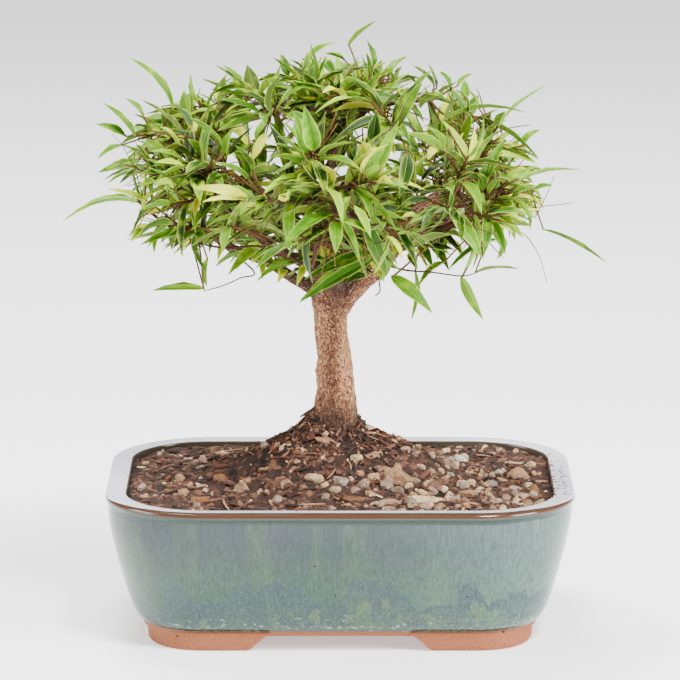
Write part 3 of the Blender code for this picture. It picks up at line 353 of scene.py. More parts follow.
def foot(corner, wall):
    """One foot: the foot ring's section carried round a corner of the pot, from one gap to the
    next. Each end leans as its gap does, so how far it reaches depends on the height."""
    insets, heights = wall[:, 0], wall[:, 1]
    radius = RIM_CORNER_RADIUS - CORNER_SHRINK * insets
    centre_x = POT_LENGTH / 2 - insets - radius
    centre_y = POT_WIDTH / 2 - insets - radius + FOOT_FORWARD
    end_x = np.interp(heights, *np.transpose(FOOT_GAP))
    end_y = end_x - GAP_LESS_SHORT
    side, arc = np.linspace(0, 1, 9)[:, None], np.radians(np.linspace(0, 90, 15))[1:-1, None]
    up_side = np.stack([np.repeat((centre_x + radius)[None], 9, 0),
                        end_y + (centre_y - end_y) * side], -1)
    round_corner = np.stack([centre_x + radius * np.cos(arc), centre_y + radius * np.sin(arc)], -1)
    along = np.stack([centre_x + (end_x - centre_x) * side,
                      np.repeat((centre_y + radius)[None], 9, 0)], -1)
    flat = np.vstack([up_side, round_corner, along]) * np.array(corner)
    rings = np.concatenate([flat, np.broadcast_to(heights[:, None], flat.shape[:2] + (1,))], -1)
    return closed_skin(rings)


def along_wall(run, low, high, soft):
    """For each distance along the wall's curve and each place round the pot, 1 between a low and
    a high limit and 0 outside, with a soft step at either end."""
    run, low, high = np.asarray(run)[:, None], np.asarray(low)[None], np.asarray(high)[None]
    up = np.clip((run - low) / soft + 0.5, 0, 1)
    return (up * np.clip((high - run) / soft + 0.5, 0, 1)).ravel()


def settled(piece):
    """The mesh that a piece has once its modifiers are applied."""
    graph = bpy.context.evaluated_depsgraph_get()
    made = bpy.data.meshes.new_from_object(piece.evaluated_get(graph))
    piece.modifiers.clear()
    old, piece.data = piece.data, made
    bpy.data.meshes.remove(old)
    return made


def joined(piece, others, cuts):
    """The piece with the other solids made one with it and the cuts taken out of it."""
    for solids, operation in ((others, "UNION"), (cuts, "DIFFERENCE")):
        for points, faces in solids:
            mesh = bpy.data.meshes.new("tool")
            mesh.from_pydata(points * MM, [], faces)
            tool = bpy.data.objects.new("tool", mesh)
            bpy.context.scene.collection.objects.link(tool)
            change = piece.modifiers.new("tool", "BOOLEAN")
            change.object, change.operation, change.solver = tool, operation, "EXACT"
            settled(piece)
            bpy.data.objects.remove(tool)
    return piece


wall = spline(POT_WALL, 5)
angle = pot_outline(POT_STEPS)[0]
pot_points, pot_faces = closed_skin(pot_rings(wall[:, 0], wall[:, 1]))
# A pressed pot is never quite true: its wall wanders by a fifth of a millimetre
swell = 1 + 0.0018 * rough(pot_points, 42.0, 3)
pot_points[:, :2] *= swell[:, None]
run = np.hstack([0, np.cumsum(np.linalg.norm(np.diff(wall, axis=0), axis=1))])
outer = run < run[wall[:, 1].argmax()]
pool_low, lip_low, lip_high = np.interp((59.2, 61.9, 63.6), wall[outer, 1], run[outer])
inner_edge = run[np.argmin(np.abs(wall[:, 0] - RIM_TOP_WIDTH + 0.5) + 100 * outer)]
# The brown band is widest along the front, where it comes 3 mm in over the rim
round_pot = np.stack([40 * np.cos(angle), 40 * np.sin(angle), 0 * angle], -1)
wobble = rough(round_pot, 9.0, 4)
front = np.clip(-np.sin(angle), 0, 1) ** 2
lip_start = lip_low + 0.5 * (1 - front) + 0.25 * wobble
lip_end = lip_high + 3.2 * front - 0.7 * (1 - front) + 0.45 * wobble
pool_start = pool_low + 0.8 * (1 - front) + 0.3 * wobble
foot_wall = spline(FOOT_WALL, 4)
feet = [foot(corner, foot_wall) for corner in ((1, 1), (-1, 1), (-1, -1), (1, -1))]
# Two of the feet are mirrored, so their faces are turned round
feet = [(p, f if c > 0 else [g[::-1] for g in f]) for (p, f), c in zip(feet, (1, -1, 1, -1))]
holes = []
for side in (-1, 1):
    turn = np.radians(np.arange(0, 360, 10))
    circle = np.stack([side * DRAIN_X + DRAIN_RADIUS * np.cos(turn),
                       DRAIN_RADIUS * np.sin(turn)], -1)
    levels = np.array([3.0, 30.0])
    rings_up = np.concatenate(
        [np.broadcast_to(circle, (2, 36, 2)), np.broadcast_to(levels[:, None, None], (2, 36, 1))],
        -1,
    )
    holes.append(closed_skin(rings_up))
stoneware = glazed_stoneware()
pot = add_piece(
    "pot_glazed", pot_points, pot_faces, stoneware, "glaze", ["pot"],
    lip=along_wall(run, lip_start, lip_end, 0.5),
    pool=along_wall(run, pool_start, lip_start, 0.9),
    # Painted reflection on the rim's top and painted shade on the inner wall
    rim_top=along_wall(run, lip_end, inner_edge + 0 * angle, 0.5),
    inner_wall=along_wall(run, inner_edge + 0 * angle, run[-1] + 0 * angle, 0.5),
)
joined(pot, feet, holes)
pot.data.set_sharp_from_angle(angle=math.radians(50))

# Drain meshes
# Two squares of black plastic netting, laid over the holes in the pot's floor so that the soil
# stays in. They are seen only from below, through the holes.


def black_netting():
    """Extruded polythene netting: black, slightly waxy, with a faint drawn grain along it."""
    material, tree, place = new_material("extruded_polythene")
    drawn = add_node(tree, "Mapping", {"Vector": place, "Scale": (0.2, 1.0, 1.0)})[0]
    grain = add_node(tree, "TexNoise", {"Vector": drawn, "Scale": 1000 / 0.8, "Detail": 2.0})[0]
    gloss = {"Roughness": 0.5, "IOR": 1.5}
    return finished(material, "#0B0C0B", [(grain, "#1C1D1B")], gloss, grain, 0.0002)


netting = black_netting()
for side in ("left", "right"):
    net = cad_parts[f"drain_mesh_{side}"]
    net.data.materials.clear()
    net.data.materials.append(netting)
    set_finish(net, "mesh")

# Soil
# A potting mix of crumbled bark and peat, mounded round the trunk. It was poured and pressed in
# by hand, and its top is loose: dark crumbs with gaps between them.

SEED = 2611
TRUNK_X, TRUNK_Y = -1.7, 8.0
SOIL_EDGE, SOIL_DOME, DOME_RADIUS = 61.6, 19.0, 46.0
HOLE_RADIUS = 10.4
SKIRT_CLIMB, SKIRT_CLIMB_LEFT = 7.5, 3.5
SKIRT_REACH, SKIRT_REACH_LEFT = 3.0, 3.0
SOIL_INSET, SOIL_FLOOR = 9.9, 15.0
SOIL_STEPS = (40, 92, 58)
SOIL_RINGS = 66
CRUMB_SIZES = ((4.2, 1.0), (1.9, 0.7), (0.9, 0.25))
# Where the camera stands and looks, its focal length and the picture's side in pixels
EYE, AIM = np.array((0.0, -2000.0, 531.3)), np.array((0.0, 0.0, 124.1))
FOCAL_PIXELS, PICTURE_PIXELS = 4681.0, 680.0


def soil_height(x, y):
    """Height of the soil: level at the rim, a dome that falls off with the cube of the distance
    from the trunk, and a skirt that climbs it, higher and wider on its left."""
    from_trunk = np.hypot(x - TRUNK_X, (y - TRUNK_Y) * POT_LENGTH / POT_WIDTH)
    dome = SOIL_DOME * np.exp(-((from_trunk / DOME_RADIUS) ** 3))
    leftward = 0.5 - 0.5 * (x - TRUNK_X) / np.maximum(from_trunk, 1.0)
    climb = SKIRT_CLIMB + SKIRT_CLIMB_LEFT * leftward
    reach = SKIRT_REACH + SKIRT_REACH_LEFT * leftward
    return SOIL_EDGE + dome + climb * np.exp(-np.maximum(from_trunk - HOLE_RADIUS, 0.0) / reach)


def crumbled(points):
    """How much the loose top stands above or below its mean: rough fields of three sizes, the
    hollows between crumbs deeper than the crumbs are high."""
    total = np.zeros(len(points))
    for seed, (size, relief) in enumerate(CRUMB_SIZES):
        total += relief * rough(points, size, seed + 11)
    return np.where(total < 0, 1.35 * total, total)


def seen_at_depth(pixels, depth):
    """The points at depth y that show at pixels of the photograph: the eye plus its ray there."""
    forward = (AIM - EYE) / np.linalg.norm(AIM - EYE)
    up = np.cross((1.0, 0.0, 0.0), forward)
    pixels = np.asarray(pixels, float) - PICTURE_PIXELS / 2
    ray = forward * FOCAL_PIXELS - up * pixels[..., 1:]
    ray[..., 0] += pixels[..., 0]
    return EYE + ray * ((np.asarray(depth)[..., None] - EYE[1]) / ray[..., 1:2])


def seen_on_soil(pixels):
    """The points of the soil that show at those pixels: the first along each ray, in steps of
    half a millimetre of depth, that lies below the soil's height."""
    depths = np.arange(-POT_WIDTH / 2, POT_WIDTH / 2, 0.5)
    along = seen_at_depth(np.asarray(pixels, float)[:, None], np.tile(depths, (len(pixels), 1)))
    below = along[..., 2] <= soil_height(along[..., 0], along[..., 1])
    first = np.where(below.any(1), below.argmax(1), len(depths) - 1)
    return along[np.arange(len(pixels)), first]


def beyond_wall(x, y, inset=10.7):
    """How far points lie outside the pot's inner outline, or minus how far inside it."""
    radius = RIM_CORNER_RADIUS - CORNER_SHRINK * inset
    over_x = np.abs(x) - (POT_LENGTH / 2 - inset - radius)
    over_y = np.abs(y) - (POT_WIDTH / 2 - inset - radius)
    outside = np.hypot(np.maximum(over_x, 0.0), np.maximum(over_y, 0.0))
    return outside + np.minimum(np.maximum(over_x, over_y), 0.0) - radius


def potting_mix():
    """Damp peat and fine bark: chocolate brown with a few tan fibres on top, and quite matt, with
    painted shade that makes it near black in the hollows and along the pot's wall."""
    material, tree, place = new_material("peat_and_bark_crumbs")
    crumb = add_node(tree, "TexVoronoi", {"Vector": place, "Scale": 1000 / 2.4})
    shade, warmth, _ = add_node(tree, "SeparateXYZ", (crumb["Color"],))
    grain = add_node(tree, "TexNoise", {"Vector": place, "Scale": 1000 / 1.1, "Detail": 4.0})[0]
    warm = add_node(tree, "MapRange", (warmth, 0.72, 0.86))[0]
    # Painted shade: the depth field darkens the hollows between crumbs and the soil along the wall
    depth = add_node(tree, "Attribute", attribute_name="depth")["Fac"]
    layers = [(shade, "#432618"), (warm, "#6B4632"), (0.55, grain, "OVERLAY"), (depth, "#0E0704")]
    return finished(material, "#1C0F09", layers, {"Roughness": 0.95}, grain, 0.0006)


edge = pot_rings([SOIL_INSET], [0.0], SOIL_STEPS)[0][:, :2]
outward = np.arctan2(edge[:, 1] / POT_WIDTH, edge[:, 0] / POT_LENGTH)
hole = np.stack([TRUNK_X + 7.0 * np.cos(outward), TRUNK_Y + 7.0 * np.sin(outward)], -1)
share = np.linspace(0, 1, SOIL_RINGS)[:, None, None] ** 0.9
flat = edge + (hole - edge) * share
top = np.concatenate([flat, soil_height(flat[..., 0], flat[..., 1])[..., None]], -1)
loose = crumbled(top.reshape(-1, 3)).reshape(flat.shape[:2])
top[..., 2] += loose
# Below its top the soil follows the pot's inner wall, down to the floor
side_rings = pot_rings([24.6, 20.6, 14.9, 10.6], [SOIL_FLOOR, 18.0, 33.0, 56.0], SOIL_STEPS)
soil_points, soil_faces = closed_skin(np.concatenate([side_rings, top]))
# Painted shade, deepest in the lowest hollows of the loose top and full below it along the wall
hollow_shade = np.hstack([np.ones(4 * len(edge)), np.clip(-loose.ravel() / 1.3 - 0.1, 0, 0.9)])
add_piece(
    "soil_mound", soil_points, soil_faces, potting_mix(), "soil", ["soil"], depth=hollow_shade
)

# Bark chips
# Pine bark, chipped and sieved: flat splinters and crumbs from 1 to 8 mm, brown to tan, that
# were mixed into the peat and lie on it at every angle, thickest round the trunk.

CHIP_COUNT, CRUMB_COUNT, STAIN_COUNT = 620, 1500, 560
CHIP_COLOURS = ("#1D110B", "#331D13", "#4A2B1D", "#61392A", "#7D5341", "#A57A5B", "#CFAA86",
                "#7A3F20")
CHIP_SHARES = (0.16, 0.20, 0.18, 0.16, 0.11, 0.07, 0.05, 0.07)
FIBRE_COUNT, DUST_COUNT = 240, 90
# Half the field they are strewn on, how near the trunk's middle they come, and how far from it
# those that gather round it lie
FIELD_X, FIELD_Y, NEAREST, GATHERED = 92, 67, 8.5, (9, 34)


def lump(rows, columns, power):
    """Points and faces of a unit lump closed at both poles: sines and cosines of latitude and
    longitude, each to that power, 1 for a ball and less for a block."""
    latitude = np.linspace(-np.pi / 2, np.pi / 2, rows + 1)[1:-1, None]
    longitude = np.linspace(0, 2 * np.pi, columns, endpoint=False)[None]

    def bent(wave):
        return np.sign(wave) * np.abs(wave) ** power

    flat = bent(np.cos(latitude))
    grid = [flat * bent(np.cos(longitude)), flat * bent(np.sin(longitude)),
            bent(np.sin(latitude)) * np.ones_like(longitude)]
    points = np.vstack([np.stack(grid, -1).reshape(-1, 3), [(0, 0, -1), (0, 0, 1)]])
    here, last = np.arange(columns), (rows - 2) * columns
    after = (here + 1) % columns
    south, north = np.full(columns, len(points) - 2), np.full(columns, len(points) - 1)
    fans = [np.stack([south, after, here], -1), np.stack([north, last + here, last + after], -1)]
    return points, [*grid_faces(rows - 1, columns, True).tolist(), *fans[0].tolist(),
                    *fans[1].tolist()]


def turned(spin, tilt, lean):
    """Rotation matrices: spin about z, after a tilt about y, after a lean about x."""
    matrices = []
    for angle, (a, b) in ((spin, (0, 1)), (tilt, (2, 0)), (lean, (1, 2))):
        m = np.tile(np.eye(3), (len(angle), 1, 1))
        m[:, a, a] = m[:, b, b] = np.cos(angle)
        m[:, b, a], m[:, a, b] = np.sin(angle), -np.sin(angle)
        matrices.append(m)
    return matrices[0] @ matrices[1] @ matrices[2]


def copies(shape, centres, halves, matrices, knobs, seed, cleaved=0):
    """One mesh of many copies of a shape: each is knobbed by a rough field of its own, cut off
    flat by a few random planes, stretched to its half sizes, turned and set at its centre."""
    points, faces = shape
    count = len(centres)
    spots = points[None] * np.ones((count, 1, 1)) + 37.0 * np.arange(count)[:, None, None]
    swell = 1 + knobs * rough(spots.reshape(-1, 3), 0.85, seed).reshape(count, -1)
    if cleaved:
        split = np.random.default_rng(seed)
        planes = split.normal(0, 1, (count, cleaved, 3))
        planes /= np.linalg.norm(planes, axis=2, keepdims=True)
        along = np.einsum("pi,kni->kpn", points, planes)
        reach = split.uniform(0.5, 0.85, (count, 1, cleaved)) / np.maximum(along, 1e-3)
        swell *= np.minimum(reach.min(axis=2), 1.0)
    made = points[None] * swell[..., None] * np.asarray(halves)[:, None]
    made = np.einsum("kij,kpj->kpi", matrices, made) + np.asarray(centres)[:, None]
    starts = (np.arange(count) * len(points)).tolist()
    return made.reshape(-1, 3), [tuple(i + s for i in f) for s in starts for f in faces]


def linear(codes):
    """Linear colours of several sRGB hex codes."""
    return np.array([paint(code)[:3] for code in codes])


def strewn(count, draw, gather):
    """Places on the soil: even over the pot's inside, with a share gathered round the trunk."""
    x = draw.uniform(-FIELD_X, FIELD_X, 4 * count)
    y = draw.uniform(-FIELD_Y, FIELD_Y, 4 * count)
    close = draw.uniform(0, 1, 4 * count) < gather
    angle, away = draw.uniform(0, 2 * np.pi, 4 * count), draw.uniform(*GATHERED, 4 * count)
    x = np.where(close, TRUNK_X + away * np.cos(angle), x)
    y = np.where(close, TRUNK_Y + away * np.sin(angle), y)
    clear = np.hypot(x - TRUNK_X, y - TRUNK_Y) > NEAREST
    inside = np.nonzero((beyond_wall(x, y) < -1.5) & clear)[0][:count]
    points = np.stack([x[inside], y[inside], soil_height(x[inside], y[inside])], -1)
    points[:, 2] += crumbled(points)
    return points


def slope(points):
    """Tilt and lean of the soil under each point, from its height half a millimetre away."""
    x, y = points[:, 0], points[:, 1]
    down_x = soil_height(x + 0.5, y) - soil_height(x - 0.5, y)
    down_y = soil_height(x, y + 0.5) - soil_height(x, y - 0.5)
    return -np.arctan(down_x), np.arctan(down_y)


def dry_bark():
    """Broken pine bark: dark cork with paler broken edges and a fibrous grain, dusty and matt."""
    material, tree, place = new_material("pine_bark_chips")
    tint = add_node(tree, "Attribute", attribute_name="tint")["Color"]
    grain = {"Vector": place, "Scale": 1000 / 0.9, "Detail": 5.0, "Roughness": 0.7}
    grain = add_node(tree, "TexNoise", grain)[0]
    broken = add_node(tree, "MapRange", (grain, 0.6, 0.72, 0, 0.5), **SOFT)[0]
    layers = [(1.0, grain, "OVERLAY"), (broken, "#A98669")]
    return finished(material, tint, layers, {"Roughness": 0.85}, grain, 0.0006)


draw = np.random.default_rng(SEED)
bark_chips = dry_bark()
# Chips, crumbs, and the small dark crumbs that cling to the foot of the trunk
groups = (
    ("bark_chips", CHIP_COUNT, lump(4, 7, 0.55), (1.4, 4.2), (0.26, 0.5), 0.5, 0.8, 0.3),
    ("bark_crumbs", CRUMB_COUNT, lump(4, 6, 0.75), (0.5, 1.5), (0.55, 0.95), 0.7, 1.0, 0.35),
    ("bark_crumbs_by_trunk", STAIN_COUNT, lump(4, 6, 0.8), (0.5, 1.2), (0.6, 1.0), 0.8, 1.0, 1.0),
)
for number, (name, count, shape, lengths, widths, thin, steep, gather) in enumerate(groups):
    places = strewn(count, draw, gather)
    count = len(places)
    long = lengths[0] + (lengths[1] - lengths[0]) * draw.uniform(0, 1, count) ** 2
    wide = long * draw.uniform(*widths, count)
    high = wide * draw.uniform(0.7, 1.1, count) * thin
    if name == "bark_crumbs_by_trunk":
        towards = np.array([TRUNK_X, TRUNK_Y]) - places[:, :2]
        away = np.linalg.norm(towards, axis=1, keepdims=True)
        places[:, :2] += towards * (1 - draw.uniform(9.2, 14.0, (count, 1)) / away)
        places[:, 2] = soil_height(places[:, 0], places[:, 1]) + draw.uniform(-0.4, 0.5, count)
    tilt, lean = slope(places)
    tilt, lean = (angle + steep * draw.normal(0, 0.35, count) for angle in (tilt, lean))
    spin = draw.uniform(0, np.pi, count)
    places[:, 2] += draw.uniform(0.1, 0.9, count) * high
    turns = turned(spin * 0, tilt, lean) @ turned(spin, spin * 0, spin * 0)
    halves = np.stack([long, wide, high], -1)
    points, faces = copies(shape, places, halves, turns, 0.3, number, cleaved=2)
    picked = draw.choice(len(CHIP_COLOURS), count, p=CHIP_SHARES)
    dark = 0.55 if name == "bark_crumbs_by_trunk" else 1.0
    tints = linear(CHIP_COLOURS)[picked] * draw.uniform(0.8, 1.2, (count, 1)) * dark
    add_piece(
        name, points, faces, bark_chips, "soil", sharp=35,
        tint=np.repeat(tints, len(shape[0]), 0),
    )

# Shreds of inner bark and root, 4 to 14 mm long and under a millimetre thick, bent a little
bend = np.linspace(-1, 1, 7)[:, None, None]
round_it = np.radians(np.arange(0, 360, 90))[None, :, None]
slender = np.sqrt(1.05 - bend**2)
shred = closed_skin(np.concatenate(
    [bend + 0 * round_it, slender * np.cos(round_it), slender * np.sin(round_it)], -1
))
places = strewn(FIBRE_COUNT, draw, 0.35)
count = len(places)
tilt, lean = slope(places)
tilt, lean = (angle + draw.normal(0, 0.16, count) for angle in (tilt, lean))
spin = draw.uniform(0, np.pi, count)
long, thick = 2 + 5 * draw.uniform(0, 1, count) ** 2, draw.uniform(0.18, 0.42, count)
places[:, 2] += 0.6 + thick
turns = turned(spin * 0, tilt, lean) @ turned(spin, spin * 0, spin * 0)
halves = np.stack([long, 1.4 * thick, thick], -1)
points, faces = copies(shred, places, halves, turns, 0.0, 7)
# Each is bent by up to three tenths of its half length
local = np.tile(shred[0][:, 0], count)
curl = np.repeat(long * draw.uniform(-0.3, 0.3, count), len(shred[0]))
sideways = np.repeat(spin + np.pi / 2, len(shred[0]))
points[:, 0] += curl * local**2 * np.cos(sideways)
points[:, 1] += curl * local**2 * np.sin(sideways)
tints = linear(CHIP_COLOURS)[draw.choice((1, 2, 3, 4, 5, 7), count)]
tints = tints * draw.uniform(0.8, 1.2, (count, 1))
add_piece("bark_shreds", points, faces, bark_chips, "soil",
          tint=np.repeat(tints, len(shred[0]), 0))

# Dust and crumbs that lie on the rim's right end
places = np.stack([draw.uniform(90.8, 99.0, DUST_COUNT),
                   draw.normal(-8.0, 24.0, DUST_COUNT), np.full(DUST_COUNT, 64.05)], -1)
places = places[beyond_wall(places[:, 0], places[:, 1], 2.0) < 0]
count = len(places)
long = draw.uniform(0.3, 1.3, count)
halves = np.stack([long, 0.35 * long, np.full(count, 0.2)], -1)
turns = turned(draw.normal(0.2, 0.5, count), np.zeros(count), np.zeros(count))
points, faces = copies(lump(3, 6, 0.9), places, halves, turns, 0.3, 8)
add_piece("rim_dust", points, faces, bark_chips, "soil",
          tint=np.tile(linear(["#2E1D15"]), (len(points), 1)))

# Stones
# River gravel from 1 to 19 mm, washed round or broken, cream, grey, tan and pinkish. It lies in
# the top of the soil, most of it at the front right.

Stone = namedtuple("Stone", "u v wide high turn colour")
CREAM, SAND, TAN, AMBER = "#CBAE85", "#B59169", "#A47C55", "#83522B"
GREY, DUSK, PINK, UMBER = "#A39382", "#8F7963", "#B8927B", "#5A3922"
WHITISH = "#D2C8BC"
# Where each shows in the photograph, in its pixels: middle, size, tilt, and colour
STONES = [Stone(*row) for row in (
    (314, 479, 20, 11, 5, CREAM), (342, 481, 19, 13, 0, GREY),
    (364, 485, 15, 12, -30, DUSK), (375, 477, 16, 10, 10, SAND),
    (399, 478, 31, 15, -30, TAN), (336, 491, 14, 10, 10, CREAM),
    (370, 495, 11, 10, 0, SAND), (398, 492, 20, 11, -5, DUSK),
    (391, 503, 24, 11, 0, SAND), (353, 499, 20, 10, 0, AMBER),
    (428, 501, 44, 12, -8, CREAM), (424, 494, 13, 9, -30, CREAM),
    (430, 485, 30, 11, 15, UMBER), (357, 459, 12, 9, 0, CREAM),
    (460, 461, 16, 12, -20, WHITISH), (461, 486, 15, 14, 0, CREAM),
    (465, 496, 27, 10, 10, TAN), (470, 506, 28, 9, 0, TAN),
    (495, 503, 14, 12, 20, PINK), (518, 477, 21, 18, -20, TAN),
    (512, 464, 19, 9, 0, CREAM), (502, 474, 11, 11, 0, GREY),
    (519, 496, 20, 8, 0, PINK), (535, 490, 10, 12, 0, AMBER),
    (286, 485, 11, 9, 0, SAND), (278, 501, 11, 10, 30, GREY),
    (195, 465, 19, 9, 0, DUSK), (222, 480, 18, 12, 0, AMBER),
    (243, 489, 15, 12, -40, SAND), (201, 501, 23, 10, 0, AMBER),
    (145, 496, 11, 8, 0, SAND), (238, 445, 20, 8, 10, TAN),
)]
# Smaller ones between them
GRAVEL = [Stone(*row) for row in (
    (356, 490, 12, 7, 0, PINK), (392, 509, 14, 5, 0, TAN),
    (331, 508, 9, 6, 0, PINK), (440, 490, 8, 7, 0, PINK),
    (420, 467, 11, 7, 0, PINK), (393, 444, 11, 6, 0, PINK),
    (408, 442, 8, 5, 0, PINK), (265, 469, 13, 6, 0, TAN),
    (471, 483, 9, 8, 0, CREAM), (492, 494, 11, 8, 0, UMBER),
    (505, 481, 16, 5, -25, SAND), (490, 455, 15, 6, 0, PINK),
    (531, 466, 12, 9, 0, CREAM), (466, 446, 10, 4, 0, PINK),
    (446, 452, 9, 8, 0, CREAM), (492, 476, 8, 8, 0, PINK),
    (482, 452, 10, 5, 0, AMBER), (206, 464, 8, 6, 0, PINK),
    (225, 455, 12, 9, 0, PINK), (222, 472, 18, 5, 0, AMBER),
    (202, 487, 12, 5, 0, CREAM), (155, 497, 7, 7, 0, CREAM),
    (144, 464, 9, 6, 0, SAND), (168, 493, 10, 8, 0, UMBER),
    (383, 484, 9, 8, 0, CREAM), (386, 470, 10, 7, 0, SAND),
    (325, 485, 9, 7, 0, SAND), (303, 488, 10, 7, 0, TAN),
    (445, 478, 10, 8, 0, SAND), (408, 486, 10, 8, 0, CREAM),
    (412, 505, 12, 8, 0, GREY), (450, 495, 9, 8, 0, CREAM),
    (480, 490, 9, 7, 0, CREAM), (505, 490, 10, 8, 0, SAND),
    (527, 485, 9, 7, 0, CREAM), (376, 505, 12, 7, 0, CREAM),
    (345, 507, 9, 6, 0, SAND), (360, 473, 8, 6, 0, TAN),
)]
GRIT_COUNT, GRIT_SPREAD = 260, 2.6
STONE_SUNK = 0.15


def set_stones(stones, draw):
    """Centres, half sizes and turns of stones that show at their pixels: the soil's point
    there, moved in from the wall, with the size that the camera's distance gives."""
    scale = np.linalg.norm(EYE - AIM) / FOCAL_PIXELS
    u, v, wide, high, turn = (np.array([getattr(s, k) for s in stones], float)
                              for k in ("u", "v", "wide", "high", "turn"))
    centres = seen_on_soil(np.stack([u, v], -1))
    half_wide, half_high = wide * scale / 2, high * scale / 2
    half_deep = 0.8 * np.minimum(half_wide, 1.3 * half_high)
    for _ in range(60):
        out = beyond_wall(centres[:, 0], centres[:, 1]) > -1.1 * half_wide
        centres[out, :2] *= 0.99
    centres[:, 2] -= STONE_SUNK * half_high
    flat = np.zeros(len(stones))
    spin = draw.uniform(-0.5, 0.5, len(stones))
    turns = turned(flat, -np.radians(turn), flat) @ turned(spin, flat, flat)
    return centres, np.stack([half_wide, half_deep, half_high], -1), turns


def river_gravel():
    """Worn quartz, sandstone and granite: each stone its own pale, earthy colour, with fine dark
    specks, soil dust in its pits, and a dry, slightly smooth face."""
    material, tree, place = new_material("river_gravel")
    tint = add_node(tree, "Attribute", attribute_name="tint")["Color"]
    mottle, grain, dust = (
        add_node(tree, "TexNoise", {"Vector": place, "Scale": 1000 / size, "Detail": detail})[0]
        for size, detail in ((2.2, 4.0), (0.6, 2.0), (5.0, 4.0))
    )
    stain = add_node(tree, "MapRange", (dust, 0.5, 0.6, 0, 0.55), **SOFT)[0]
    fleck = add_node(tree, "MapRange", (grain, 0.41, 0.34, 0, 0.7), **SOFT)[0]
    layers = [(0.6, mottle, "OVERLAY"), (0.9, grain, "OVERLAY"), (stain, "#714F37"),
              (fleck, "#3A2619")]
    relief = add_node(tree, "Math", (grain, mottle), operation="ADD")[0]
    return finished(material, tint, layers, {"Roughness": 0.7}, relief, 0.0005)


gravel = river_gravel()
draw = np.random.default_rng(SEED + 1)
grit = strewn(5 * GRIT_COUNT, draw, 0.0)
grit = grit[(grit[:, 0] > 12) & (grit[:, 1] < 18) | (draw.uniform(0, 1, len(grit)) < 0.1)]
grit = grit[np.hypot(grit[:, 0] - TRUNK_X, grit[:, 1] - TRUNK_Y) > 24][:GRIT_COUNT]
grit_half = 0.7 + GRIT_SPREAD * draw.uniform(0, 1, (GRIT_COUNT, 1)) ** 2.2
grit_half = grit_half * draw.uniform(0.6, 1.0, (GRIT_COUNT, 3))
sets = (
    ("stones", lump(18, 28, 0.85), *set_stones(STONES, draw), [s.colour for s in STONES]),
    ("gravel", lump(11, 16, 0.88), *set_stones(GRAVEL, draw), [s.colour for s in GRAVEL]),
    ("grit", lump(7, 10, 0.88), grit, grit_half, turned(*draw.uniform(0, 3, (3, GRIT_COUNT))),
     draw.choice((CREAM, SAND, TAN, GREY, PINK, DUSK), GRIT_COUNT).tolist()),
)
for number, (name, shape, centres, halves, turns, colours) in enumerate(sets):
    points, faces = copies(shape, centres, halves * 1.1, turns, 0.22, 40 + number, cleaved=6)
    # Worn, pitted faces, from a quarter to a tenth of a millimetre deep
    middles = np.repeat(centres, len(shape[0]), 0)
    out = points - middles
    worn = 0.25 * rough(points, 1.9, 3) + 0.12 * rough(points, 0.8, 4)
    points += out / np.maximum(np.linalg.norm(out, axis=1, keepdims=True), 1e-6) * worn[:, None]
    tints = linear(colours) * draw.uniform(0.62, 1.0, (len(colours), 1))
    add_piece(
        name, points, faces, gravel, "soil", sharp=45, tint=np.repeat(tints, len(shape[0]), 0)
    )

# Trunk and limbs
# A straight young trunk 16 mm thick, pruned at 150 mm so that it forked into nine limbs. Its
# bark is thin and tan, flaking to reddish brown, and dark where wet soil touches it.

